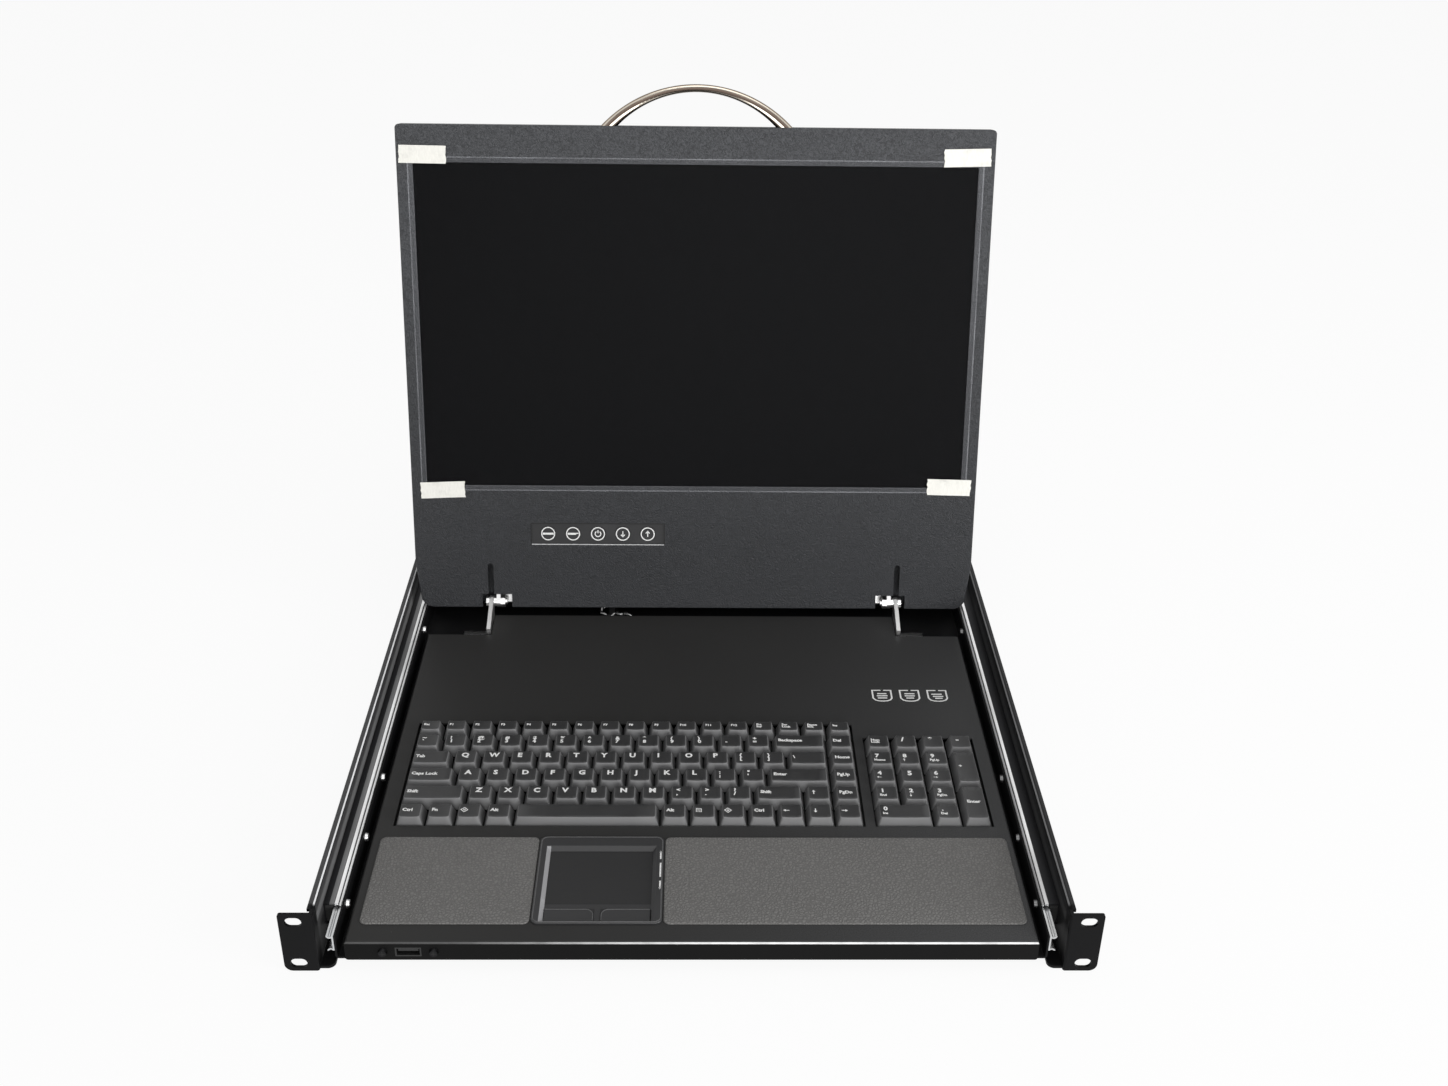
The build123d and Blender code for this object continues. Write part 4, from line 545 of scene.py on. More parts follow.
@dataclass(frozen=True)
class Plated(Finish):
    """Bare or plated metal, drawn along one direction."""

    colour: Colour
    roughness: float
    grain: tuple[float, float, float]
    grain_depth: float = 0.00001
    tarnish: Colour = (0.5, 0.47, 0.42)
    tarnish_share: float = 0.25
    patch_scale: float = 40.0

    def coat(self, tree: ShaderTree) -> None:
        """Fill the tree.

        Args:
            tree: the material's empty tree.
        """
        streak = tree.noise(tree.place(self.grain), 1.0, 3.0)
        patch = tree.noise(tree.place(), self.patch_scale, 3.0)
        base = tree.blend(patch.above(0.4, 0.8) * self.tarnish_share, self.colour, self.tarnish)
        rough = self.roughness + (streak - 0.5) * 0.16 + patch.above(0.5, 0.8) * 0.08
        tree.surface(
            {"Metallic": 1.0},
            Base_Color=base,
            Roughness=rough,
            Normal=tree.bump(streak, self.grain_depth),
        )


@dataclass(frozen=True)
class SlideSteel(Finish):
    """Dark greased slide steel, with painted highlights in lines along its lips, and a broader one on the
    left slide's lip.
    """

    dark: Colour
    bright: Colour
    lines: tuple[tuple[float, float], ...]
    lip: tuple[float, float]
    lip_share: float = 0.22
    lip_soft: float = 0.2 * MM
    line_soft: float = 0.15 * MM
    middle: tuple[float, float] = (-20.0 * MM, 20.0 * MM)
    grain: tuple[float, float, float] = (900.0, 9.0, 900.0)
    grain_depth: float = 0.000008
    grease_scale: float = 30.0

    def coat(self, tree: ShaderTree) -> None:
        """Fill the tree.

        Args:
            tree: the material's empty tree.
        """
        side = tree.along(X_AXIS)
        across = side.size()
        # Painted highlights: bright lines along the lips standing in for light caught by the slide's races,
        # with a broad lip band on the left slide only.
        highlight_share = across.within(*self.lip, self.lip_soft) * (1 - side.above(*self.middle)) * self.lip_share
        for line in self.lines:
            highlight_share = highlight_share.most(across.within(*line, self.line_soft))
        # The first painted highlight line is made less metallic, so that it stays white.
        worn = across.within(*self.lines[0], self.line_soft)
        streak = tree.noise(tree.place(self.grain), 1.0, 3.0)
        grease = tree.noise(tree.place((1.0, 0.25, 1.0)), self.grease_scale, 3.0)
        share = highlight_share * (0.6 + grease.above(0.3, 0.6) * 0.4)
        tree.surface(
            {},
            Base_Color=tree.blend(share, self.dark, self.bright),
            Metallic=1 - worn * 0.75,
            Roughness=0.42 - highlight_share * 0.12 + (streak - 0.5) * 0.14,
            Normal=tree.bump(streak, self.grain_depth),
        )


@dataclass(frozen=True)
class ScrewPlate(Finish):
    """Zinc on the screws inside the drawer, with painted shade on those along its right side, and black on
    those of its front.
    """

    bright: Colour
    dark: Colour
    front: float
    front_soft: float = 1.0 * MM
    right: tuple[float, float] = (190.0 * MM, 200.0 * MM)
    right_shade: float = 0.75
    turned_scale: float = 900.0
    turned_depth: float = 0.00001

    def coat(self, tree: ShaderTree) -> None:
        """Fill the tree.

        Args:
            tree: the material's empty tree.
        """
        inside = tree.along(Y_AXIS).above(self.front - self.front_soft, self.front)
        # Painted shade: the screws on the right wall are darkened, as they face away from the key light.
        inside = inside * (1 - tree.along(X_AXIS).above(*self.right) * self.right_shade)
        turned = tree.noise(tree.place(), self.turned_scale, 2.0)
        tree.surface(
            {"Metallic": 1.0},
            Base_Color=tree.blend(inside, self.dark, self.bright),
            Roughness=0.3 + turned * 0.15,
            Normal=tree.bump(turned, self.turned_depth),
        )


@dataclass(frozen=True)
class BowChrome(Finish):
    """Chrome on the bow handle, with a painted reflection of a warm dark room between painted bright edges.
    """

    up: Vector
    centre: float
    radius: float
    bands: tuple[tuple[float, Colour], ...]
    depth: float = 7.0 * MM
    smear_scale: float = 55.0
    polish_scale: float = 1400.0
    polish_depth: float = 0.000002

    def coat(self, tree: ShaderTree) -> None:
        """Fill the tree.

        Args:
            tree: the material's empty tree.
        """
        height = tree.along(self.up) - self.centre
        across = tree.along(X_AXIS)
        flat = tree.signal("ShaderNodeCombineXYZ", "Vector", {}, {"X": across, "Y": height})
        reach = tree.signal("ShaderNodeVectorMath", "Value", {"operation": "LENGTH"}, {"Vector": flat})
        smear = tree.noise(tree.place(), self.smear_scale, 3.0)
        place = (self.radius - reach) * (1 / self.depth) + (smear - 0.5) * 0.07
        # Painted reflection: warm dark and bright bands laid into the base colour across the bow.
        banded = tree.signal("ShaderNodeValToRGB", "Color", {"stops": self.bands}, {"Fac": place})
        polish = tree.noise(tree.place(), self.polish_scale, 2.0)
        tree.surface(
            {"Metallic": 1.0},
            Base_Color=banded,
            Roughness=0.12 + polish * 0.06,
            Normal=tree.bump(polish, self.polish_depth),
        )


@dataclass(frozen=True)
class KeyPlastic(Finish):
    """Key caps: smooth dark tops and matt skirts painted paler, with a painted highlight on the top rim, told
    apart by a value on the mesh.
    """

    top: Colour
    skirt: Colour
    grain_scale: float = 2400.0
    grain_depth: float = 0.00002
    handled_scale: float = 70.0

    def coat(self, tree: ShaderTree) -> None:
        """Fill the tree.

        Args:
            tree: the material's empty tree.
        """
        where = tree.place()
        grain = tree.noise(where, self.grain_scale, 2.0)
        handled = tree.noise(where, self.handled_scale, 2.0).above(0.4, 0.7)
        # Painted light: skirts and top rims are made paler where the front light falls, while the tops stay
        # dark.
        side = tree.mark("skirt")
        base = tree.blend(side * 0.9 + grain * 0.1, self.top, self.skirt)
        tree.surface(
            plain(0.45),
            Base_Color=base,
            Roughness=0.46 - handled * 0.08 + (grain - 0.5) * 0.1,
            Normal=tree.bump(grain, self.grain_depth),
        )


@dataclass(frozen=True)
class Moulding(Finish):
    """Moulded plastic or rubber with a fine spark eroded grain and, where asked, a painted highlight on one
    bevel.
    """

    colour: Colour
    roughness: float
    grain_scale: float = 2600.0
    grain_depth: float = 0.00002
    specular: float = 0.4
    tone: float = 0.12
    pale: tuple[float, float] | None = None
    bevel_highlight_front: float = 0.0
    bevel_highlight_top: tuple[float, float] = (2.6 * MM, 2.9 * MM)
    bevel_highlight_soft: tuple[float, float] = (0.25 * MM, 0.5 * MM)
    bevel_highlight_colour: Colour = (0.36, 0.36, 0.37)
    cloud_scale: float = 22.0
    wear_scale: float = 55.0

    def coat(self, tree: ShaderTree) -> None:
        """Fill the tree.

        Args:
            tree: the material's empty tree.
        """
        where = tree.place()
        grain = tree.noise(where, self.grain_scale, 2.0)
        cloud = tree.noise(where, self.cloud_scale, 2.0)
        worn = tree.noise(where, self.wear_scale, 3.0).above(0.52, 0.75)
        base = tree.tint(cloud, self.colour, 1 - self.tone, 1 + self.tone)
        # Painted highlight: the bevel that faces the key light is made paler.
        if self.pale is not None:
            strip = tree.along(X_AXIS).within(*self.pale, self.bevel_highlight_soft[0])
            strip = strip * (0.7 + worn * 0.3) * (1 - tree.along(Z_AXIS).above(*self.bevel_highlight_top))
            front = self.bevel_highlight_front
            strip = strip * tree.along(Y_AXIS).above(front, front + self.bevel_highlight_soft[1])
            base = tree.blend(strip, base, self.bevel_highlight_colour)
        rough = self.roughness + (grain - 0.5) * 0.1 - worn * 0.08
        tree.surface(
            plain(self.specular),
            Base_Color=base,
            Roughness=rough,
            Normal=tree.bump(grain, self.grain_depth),
        )


@dataclass(frozen=True)
class Vinyl(Finish):
    """Grained vinyl: small pebbles, with painted shade in the valleys between them."""

    colour: Colour
    pebble_scale: float = 820.0
    pebble_depth: float = 0.00012
    roughness: float = 0.62
    bend_scale: float = 300.0
    bend_reach: float = 0.002
    fibre_scale: float = 2400.0
    cloud_scale: float = 12.0

    def coat(self, tree: ShaderTree) -> None:
        """Fill the tree.

        Args:
            tree: the material's empty tree.
        """
        where = tree.place()
        values = {"Vector": where, "Scale": self.bend_scale, "Detail": 2.0}
        bend = tree.signal("ShaderNodeTexNoise", "Color", {}, values)
        values = {"Vector": bend, "Scale": self.bend_reach}
        wander = tree.signal("ShaderNodeVectorMath", "Vector", {"operation": "SCALE"}, values)
        warped = tree.signal("ShaderNodeVectorMath", "Vector", {}, {"Vector": where, "Vector_001": wander})
        values = {"Vector": warped, "Scale": self.pebble_scale}
        valley = tree.signal("ShaderNodeTexVoronoi", "Distance", {"feature": "DISTANCE_TO_EDGE"}, values)
        pebble = valley.above(0.0, 0.28)
        fibre = tree.noise(where, self.fibre_scale, 2.0)
        cloud = tree.noise(where, self.cloud_scale, 3.0)
        # Painted shade: the colour darkens into the valleys between the pebbles.
        tone = pebble * 0.55 + cloud * 0.3 + fibre * 0.15
        base = tree.tint(tone, self.colour, 0.72, 1.22)
        tree.surface(
            plain(0.3),
            Base_Color=base,
            Roughness=self.roughness + (1 - pebble) * 0.15,
            Normal=tree.bump(pebble * 0.8 + fibre * 0.2, self.pebble_depth),
        )


@dataclass(frozen=True)
class Panel(Finish):
    """The dark face of a display: black, with a faint even haze and an anti glare grain."""

    colour: Colour
    grain_scale: float = 3800.0
    grain_depth: float = 0.000006
    haze_scale: float = 3.0

    def coat(self, tree: ShaderTree) -> None:
        """Fill the tree.

        Args:
            tree: the material's empty tree.
        """
        where = tree.place()
        grain = tree.noise(where, self.grain_scale, 1.0)
        haze = tree.noise(where, self.haze_scale, 2.0)
        base = tree.tint(haze, self.colour, 0.9, 1.15)
        tree.surface(
            plain(0.025),
            Base_Color=base,
            Roughness=0.46 + (haze - 0.5) * 0.06,
            Normal=tree.bump(grain, self.grain_depth),
        )


@dataclass(frozen=True)
class Film(Finish):
    """Clear protective film: unseen over the black screen, a pale rim on the bezel, with a painted highlight
    along its cut edge.
    """

    up: Vector
    half_width: float
    bottom: float
    top: float
    lap: float = 4.0 * MM
    cut: float = 0.7 * MM
    cover: float = 0.002
    rim: float = 0.06
    edge: float = 0.3
    colour: Colour = (0.42, 0.43, 0.46)
    soft: float = 0.3 * MM
    ripple_scale: float = 16.0
    ripple_depth: float = 0.0003
    scuff_scale: float = 160.0
    wander_scale: float = 25.0

    def _outside(self, tree: ShaderTree, inset: float) -> Signal:
        """Find the film's rim.

        Args:
            tree: the material's tree.
            inset: how broad the rim is.

        Returns:
            1 on the rim and 0 inside it.
        """
        across = tree.along(X_AXIS).size()
        height = tree.along(self.up)
        side, top, bottom = self.half_width - inset, self.top - inset, self.bottom + inset
        rim = across.above(side - self.soft, side).most(height.above(top - self.soft, top))
        return rim.most(1 - height.above(bottom, bottom + self.soft))

    def coat(self, tree: ShaderTree) -> None:
        """Fill the tree.

        Args:
            tree: the material's empty tree.
        """
        ripple = tree.noise(tree.place((1.0, 1.0, 0.35)), self.ripple_scale, 2.0)
        scuff = tree.noise(tree.place(), self.scuff_scale, 3.0).above(0.62, 0.8)
        wander = tree.noise(tree.place(), self.wander_scale, 2.0).above(0.3, 0.7) * 0.5 + 0.5
        rim = self._outside(tree, self.lap)
        # Painted highlight: a bright line along the film's cut edge.
        edge = self._outside(tree, self.cut) * wander
        tree.surface(
            {"Base Color": (*self.colour, 1.0), **plain(0.25)},
            Roughness=0.3 + scuff * 0.2,
            Alpha=self.cover + scuff * 0.002 + rim * self.rim + edge * self.edge,
            Normal=tree.bump(ripple, self.ripple_depth),
        )


@dataclass(frozen=True)
class Tape(Finish):
    """Paper tape: off-white fibres, a few stains and soft creases."""

    colour: Colour
    fibre: tuple[float, float, float] = (900.0, 900.0, 260.0)
    stain_scale: float = 95.0
    crease_scale: float = 260.0
    crease_depth: float = 0.00025

    def coat(self, tree: ShaderTree) -> None:
        """Fill the tree.

        Args:
            tree: the material's empty tree.
        """
        fibre = tree.noise(tree.place(self.fibre), 1.0, 4.0)
        stain = tree.noise(tree.place(), self.stain_scale, 3.0).above(0.5, 0.8)
        crease = tree.noise(tree.place((1.0, 1.0, 0.4)), self.crease_scale, 2.0)
        tone = fibre * 0.5 + (1 - stain) * 0.5
        base = tree.tint(tone, self.colour, 0.68, 1.08)
        tree.surface(
            plain(0.3),
            Base_Color=base,
            Roughness=0.7 + (fibre - 0.5) * 0.2,
            Normal=tree.bump(crease * 0.7 + fibre * 0.3, self.crease_depth),
        )


@dataclass(frozen=True)
class Ink(Finish):
    """Printed marks: a flat ink that is a little thin in places."""

    colour: Colour
    thin: float = 0.25
    grain_scale: float = 1500.0

    def coat(self, tree: ShaderTree) -> None:
        """Fill the tree.

        Args:
            tree: the material's empty tree.
        """
        grain = tree.noise(tree.place(), self.grain_scale, 2.0)
        base = tree.tint(grain.above(0.35, 0.7), self.colour, 1 - self.thin, 1.0)
        tree.surface(
            plain(0.3),
            Base_Color=base,
            Roughness=0.55 + (grain - 0.5) * 0.1,
        )


@dataclass(frozen=True)
class Laminate(Finish):
    """Circuit board: lacquer over a weave, with copper showing faintly as paler runs."""

    colour: Colour
    run_scale: float = 90.0
    run_depth: float = 0.00003
    weave_scale: float = 900.0

    def coat(self, tree: ShaderTree) -> None:
        """Fill the tree.

        Args:
            tree: the material's empty tree.
        """
        values = {"Scale": self.run_scale, "Mortar Size": 0.03, "Brick Width": 0.7, "Row Height": 0.2}
        values["Vector"] = tree.place()
        runs = tree.signal("ShaderNodeTexBrick", "Fac", {"offset": 0.37}, values)
        weave = tree.noise(tree.place(), self.weave_scale, 2.0)
        base = tree.tint(runs * 0.7 + weave * 0.3, self.colour, 1.0, 1.8)
        tree.surface(
            plain(0.5),
            Base_Color=base,
            Roughness=0.35 + weave * 0.2,
            Normal=tree.bump(runs, self.run_depth),
        )


class Finishes:
    """Every finish on the object, made once and shared."""

    def __init__(self, plane: "LidPlane") -> None:
        """Make the materials.

        Args:
            plane: the lid's front face, which places the film's rim, the lid's painted light gradient and the
                handle's painted reflection bands.
        """
        black = (0.006, 0.006, 0.0064)
        self.rack = Paint("rack_black", black, 0.46, 900.0, 0.00004, 0.07).build()
        # The rail coat paints highlights on the fold, the flange top and the inside of the web.
        self.rail = Paint("rail_black", black, 0.46, 900.0, 0.00004, 0.07, web=221.0 * MM).build()
        self.deck = Paint(
            "deck_black", (0.0265, 0.0262, 0.0258), 0.44, 1500.0, 0.000025, 0.12, 0.25,
            # The deck's painted light gradient rises towards the front right; its fold gives painted shade on
            # the front face and a painted highlight on the fold.
            fold=(-2.2 * MM, 0.25 * MM), painted_light_gradient=(Vector((0.94, -0.34, 0.0)), -0.12, 0.26),
        ).build()
        self.lid = Paint(
            "lid_coat", (0.0185, 0.0195, 0.022), 0.46, 430.0, 0.0011, 0.3, 0.1, 0.6, 1.8,
            # The lid's painted light gradient rises towards its top.
            painted_light_gradient=(plane.up, plane.base, plane.base + 0.365),
        ).build()
        zinc = (0.62, 0.63, 0.64)
        self.zinc = Plated("zinc_plate", zinc, 0.3, (900.0, 9.0, 900.0)).build()
        # The slide's painted highlight lines and its left lip band, by distance from the middle.
        lines = ((210.4 * MM, 211.3 * MM), (212.05 * MM, 214.1 * MM))
        lip = (214.6 * MM, 217.2 * MM)
        self.slide = SlideSteel("slide_steel", (0.03, 0.03, 0.032), (0.92, 0.92, 0.92), lines, lip).build()
        self.drawer_screw = ScrewPlate("drawer_screw", (0.6, 0.6, 0.6), (0.02, 0.02, 0.021), 5.0 * MM).build()
        self.arm = Plated("hinge_steel", (0.7, 0.7, 0.7), 0.32, (60.0, 300.0, 60.0)).build()
        # The bands of the handle's painted reflection: place across the bow and colour.
        bands = (
            (0.0, (0.06, 0.045, 0.034)), (0.09, (0.3, 0.24, 0.18)), (0.2, (0.72, 0.66, 0.57)),
            (0.32, (0.04, 0.03, 0.024)), (0.58, (0.016, 0.012, 0.01)), (0.7, (0.6, 0.54, 0.46)),
            (0.84, (0.03, 0.024, 0.02)),
        )
        self.chrome = BowChrome("handle_chrome", plane.up, *plane.handle_arc(), bands).build()
        self.screw = Plated("screw_plate", (0.5, 0.5, 0.51), 0.35, (500.0, 500.0, 500.0)).build()
        self.black_screw = Paint("black_screw", (0.012, 0.012, 0.012), 0.4, 1500.0, 0.00002, 0.5).build()
        self.ball = Plated(
            "ball_steel", (0.8, 0.8, 0.82), 0.1, (200.0, 200.0, 200.0), tarnish_share=0.05
        ).build()
        self.rubber = Moulding("bumper_rubber", (0.012, 0.012, 0.012), 0.75, 1800.0, 0.00004, 0.25).build()
        self.cap = KeyPlastic("key_cap", (0.0165, 0.0165, 0.017), (0.17, 0.17, 0.172)).build()
        self.key_base = Moulding("key_base", (0.006, 0.006, 0.006), 0.6).build()
        self.pad = Vinyl("wrist_vinyl", (0.142, 0.139, 0.135), 480.0, 0.0003).build()
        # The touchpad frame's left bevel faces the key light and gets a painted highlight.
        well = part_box("touchpad_surface")[0].x
        bevel = (well - 3.0 * MM, well - 0.1 * MM)
        self.touch = Moulding(
            "touch_frame", (0.022, 0.022, 0.023), 0.4, 2200.0, 0.00002, 0.45,
            pale=bevel, bevel_highlight_front=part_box("touchpad_frame")[0].y + 1.5 * MM,
        ).build()
        self.touch_face = Moulding("touch_face", (0.0165, 0.0165, 0.017), 0.58, 3200.0, 0.00003, 0.3).build()
        self.lens = Moulding("smoke_lens", (0.05, 0.055, 0.05), 0.18, 800.0, 0.000004, 0.5).build()
        self.panel = Panel("display_face", (0.0035, 0.0035, 0.0039)).build()
        self.module = Paint("display_module", (0.35, 0.36, 0.37), 0.4, 700.0, 0.00002).build()
        self.film = Film("clear_film", plane.up, *plane.film_limits()).build()
        self.tape = Tape("paper_tape", (0.78, 0.77, 0.72)).build()
        self.button = Moulding("screen_button", (0.011, 0.011, 0.012), 0.5, 2600.0, 0.00002, 0.35).build()
        self.ink = Ink("white_print", (0.88, 0.88, 0.87)).build()
        # A painted highlight for the lit lower edge of the button recess.
        self.edge = Ink("cut_edge", (0.62, 0.62, 0.63), 0.4).build()
        # A painted highlight for the touchpad frame's rim and the buttons' edges.
        self.button_edge = Ink("moulded_edge", (0.11, 0.11, 0.112), 0.3).build()
        # Painted shade, for the button recess's shadowed sides, the screws' cross recesses and the video
        # socket's pin holes.
        self.dark = Ink("dark_recess", (0.003, 0.003, 0.003), 0.0).build()
        self.inlet = Moulding("socket_moulding", (0.012, 0.012, 0.012), 0.38, 1500.0, 0.00002).build()
        self.board = Laminate("circuit_board", (0.01, 0.06, 0.025)).build()
        self.wire = Moulding("wire_jacket", (0.95, 0.95, 0.94), 0.2, 900.0, 0.00002, 0.6, 0.1).build()
        self.cable = Moulding("cable_jacket", (0.013, 0.013, 0.014), 0.55, 900.0, 0.00003, 0.35).build()


def bands(rows: int, count: int, spans: int) -> list[Sequence[int]]:
    """Join rows of points by four-sided faces.

    Args:
        rows: how many rows there are.
        count: points in each row.
        spans: faces between two rows: count where the rows are rings, and one less where they are open.

    Returns:
        The faces, by the points' numbers.
    """
    faces = []
    for start in range(0, (rows - 1) * count, count):
        for index in range(spans):
            after = (index + 1) % count
            faces.append((start + index, start + after, start + count + after, start + count + index))
    return faces


def on_circle(middle: Point, radius: float, turn: float) -> Point:
    """A point of a circle, by its angle in radians."""
    return middle[0] + radius * math.cos(turn), middle[1] + radius * math.sin(turn)


class MeshBuilder:
    """Collects points and faces for one piece."""

    def __init__(self) -> None:
        """Start empty."""
        self.points: list[Vector] = []
        self.faces: list[list[int]] = []

    def add(self, points: Iterable[Vector], faces: Iterable[Sequence[int]]) -> None:
        """Add a set of points and the faces between them.

        Args:
            points: the points, in metres.
            faces: indices into those points.
        """
        start = len(self.points)
        self.points.extend(Vector(point) for point in points)
        self.faces.extend([start + index for index in face] for face in faces)

    def loft(self, rings: Sequence[Sequence[Vector]]) -> None:
        """Add a skin over rings of points, closed at both ends.

        Args:
            rings: the rings in order, with as many points each.
        """
        count = len(rings[0])
        last = (len(rings) - 1) * count
        ends = [range(count)[::-1], range(last, last + count)]
        points = [point for ring in rings for point in ring]
        self.add(points, [ends[0], *bands(len(rings), count, count), ends[1]])

    def mesh(self, name: str, turn_out: bool = False) -> bpy.types.Mesh:
        """Make the mesh.

        Args:
            name: its name.
            turn_out: whether its normals are recalculated to point outwards.

        Returns:
            The mesh.
        """
        made = bpy.data.meshes.new(name)
        made.from_pydata([tuple(point) for point in self.points], [], self.faces)
        if turn_out:
            work = bmesh.new()
            work.from_mesh(made)
            bmesh.ops.remove_doubles(work, verts=work.verts, dist=WELD_FINE)
            bmesh.ops.recalc_face_normals(work, faces=work.faces)
            work.to_mesh(made)
            work.free()
        return made


def show(
    mesh: bpy.types.Mesh, material: bpy.types.Material, body: str,
    smooth_angle: float | None = None, replaces: Sequence[str] = (),
) -> bpy.types.Object:
    """Put a mesh in the scene as a piece that rides on a body.

    Args:
        mesh: the finished mesh, in the object's frame.
        material: its finish.
        body: the body that carries it.
        smooth_angle: edges flatter than this, in degrees, are shaded smooth.
        replaces: CAD nodes that it stands for.

    Returns:
        The piece.
    """
    piece = bpy.data.objects.new(mesh.name, mesh)
    bpy.context.scene.collection.objects.link(piece)
    mesh.materials.clear()
    mesh.materials.append(material)
    if smooth_angle is not None:
        mesh.shade_smooth()
        mesh.set_sharp_from_angle(angle=math.radians(smooth_angle))
    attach(piece, body)
    if replaces:
        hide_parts(*replaces)
    log.info("%s rides on %s with %d faces", mesh.name, body, len(mesh.polygons))
    return piece


def dress(finish: bpy.types.Material, *nodes: str) -> None:
    """Give CAD nodes a finish."""
    for node in nodes:
        frame["nodes"][node].data.materials[0] = finish


@dataclass(frozen=True)
class Island:
    """One closed solid of a CAD node."""

    points: tuple[Vector, ...]

    @property
    def low(self) -> Vector:
        """The lowest corner."""
        return Vector(min(point[axis] for point in self.points) for axis in range(3))

    @property
    def high(self) -> Vector:
        """The highest corner."""
        return Vector(max(point[axis] for point in self.points) for axis in range(3))

    @property
    def middle(self) -> Vector:
        """The centre of its box."""
        return (self.low + self.high) / 2


def islands(node: str) -> list[Island]:
    """Split a CAD node into its separate solids.

    Args:
        node: the node's name.

    Returns:
        One island per solid.
    """
    work = bmesh.new()
    work.from_mesh(frame["nodes"][node].data)
    bmesh.ops.remove_doubles(work, verts=work.verts, dist=WELD)
    work.verts.ensure_lookup_table()
    seen: set[int] = set()
    found = []
    for start in work.verts:
        if start.index in seen:
            continue
        seen.add(start.index)
        reach = [start]
        for vertex in reach:
            for edge in vertex.link_edges:
                other = edge.other_vert(vertex)
                if other.index not in seen:
                    seen.add(other.index)
                    reach.append(other)
        found.append(Island(tuple(vertex.co.copy() for vertex in reach)))
    work.free()
    return found


class Strokes:
    """Flat printed lines on a plane."""

    MITRE = 0.35
    FEWEST_STEPS = 6
    STEP = 9.0

    def __init__(self, origin: Vector, right: Vector = X_AXIS, up: Vector = Y_AXIS) -> None:
        """Start on a plane.

        Args:
            origin: where the marks are centred, just above the surface.
            right: the plane's first direction.
            up: the plane's second direction.
        """
        self.builder = MeshBuilder()
        self.origin = origin
        self.right = right
        self.up = up

    def at(self, point: Point) -> Vector:
        """The place of a point of the plane."""
        return self.origin + self.right * point[0] + self.up * point[1]

    def line(self, points: Sequence[Point], width: float, closed: bool = False, rise: float = 0.0) -> None:
        """Draw a line with mitred corners.

        Args:
            points: its points, in metres on the plane.
            width: how broad it is.
            closed: whether it joins its own start.
            rise: how high its middle stands, which makes the line a bead.
        """
        flat = [Vector((*point, 0.0)) for point in points]
        count = len(flat)
        outer, inner = [], []
        for index, point in enumerate(flat):
            before = flat[index - 1] if closed or index else None
            after = flat[(index + 1) % count] if closed or index < count - 1 else None
            ways = [(point - before).normalized()] if before is not None else []
            ways += [(after - point).normalized()] if after is not None else []
            way = sum(ways, Vector()).normalized()
            across = Vector((-way.y, way.x, 0.0))
            reach = width / 2 / max(self.MITRE, way.dot(ways[0]))
            outer.append(point + across * reach)
            inner.append(point - across * reach)
        rows = [[self.at((p.x, p.y)) for p in row] for row in (inner, outer)]
        if rise:
            lift = self.right.cross(self.up) * rise
            rows.insert(1, [self.at((p.x, p.y)) + lift for p in flat])
        faces = bands(len(rows), count, count if closed else count - 1)
        self.builder.add([point for row in rows for point in row], faces)

    def ring(self, radius: float, width: float, start: float = 0.0, end: float = 360.0) -> None:
        """Draw an arc or a whole ring round the origin.

        Args:
            radius: to the middle of the line.
            width: of the line.
            start: first angle in degrees.
            end: last angle in degrees.
        """
        whole = end - start >= 360
        steps = max(self.FEWEST_STEPS, round((end - start) / self.STEP))
        count = steps if whole else steps + 1
        turns = [math.radians(start + (end - start) * index / steps) for index in range(count)]
        self.line([on_circle((0.0, 0.0), radius, turn) for turn in turns], width, closed=whole)

    def fill(self, points: Sequence[Point]) -> None:
        """Fill an outline given anticlockwise."""
        self.builder.add([self.at(point) for point in points], [range(len(points))])

    def show(self, name: str, finish: bpy.types.Material, body: str, slot: str) -> None:
        """Put the marks in the scene as one piece."""
        show(self.builder.mesh(name), finish, body)


class Lettering:
    """Turns words into flat faces with one text curve that is used again."""

    def __init__(self, bold: float = 0.045, line_gap: float = 0.85, steps: int = 2) -> None:
        """Make the text curve, set from the left and one metre in size.

        Args:
            bold: how far the outline swells, as a share of the size.
            line_gap: from line to line, as a share of the size.
            steps: spans in each curved part of a letter.
        """
        self.curve = bpy.data.curves.new("legend_type", "FONT")
        self.curve.resolution_u = steps
        self.curve.size = 1.0
        self.curve.offset = bold
        self.curve.space_line = line_gap
        self.curve.align_x = "LEFT"
        self.curve.align_y = "CENTER"
        self.holder = bpy.data.objects.new("legend_type", self.curve)
        bpy.context.scene.collection.objects.link(self.holder)

    def faces(self, words: str, size: float) -> Flat:
        """Set some words.

        Args:
            words: the words.
            size: the type size in metres.

        Returns:
            Points on a plane and the faces between them.
        """
        self.curve.body = words
        bpy.context.view_layer.update()
        mesh = self.holder.evaluated_get(bpy.context.evaluated_depsgraph_get()).to_mesh()
        points = [(vertex.co.x * size, vertex.co.y * size) for vertex in mesh.vertices]
        faces = [list(polygon.vertices) for polygon in mesh.polygons]
        self.holder.to_mesh_clear()
        return points, faces

    def close(self) -> None:
        """Remove the text curve."""
        bpy.data.objects.remove(self.holder)
        bpy.data.curves.remove(self.curve)


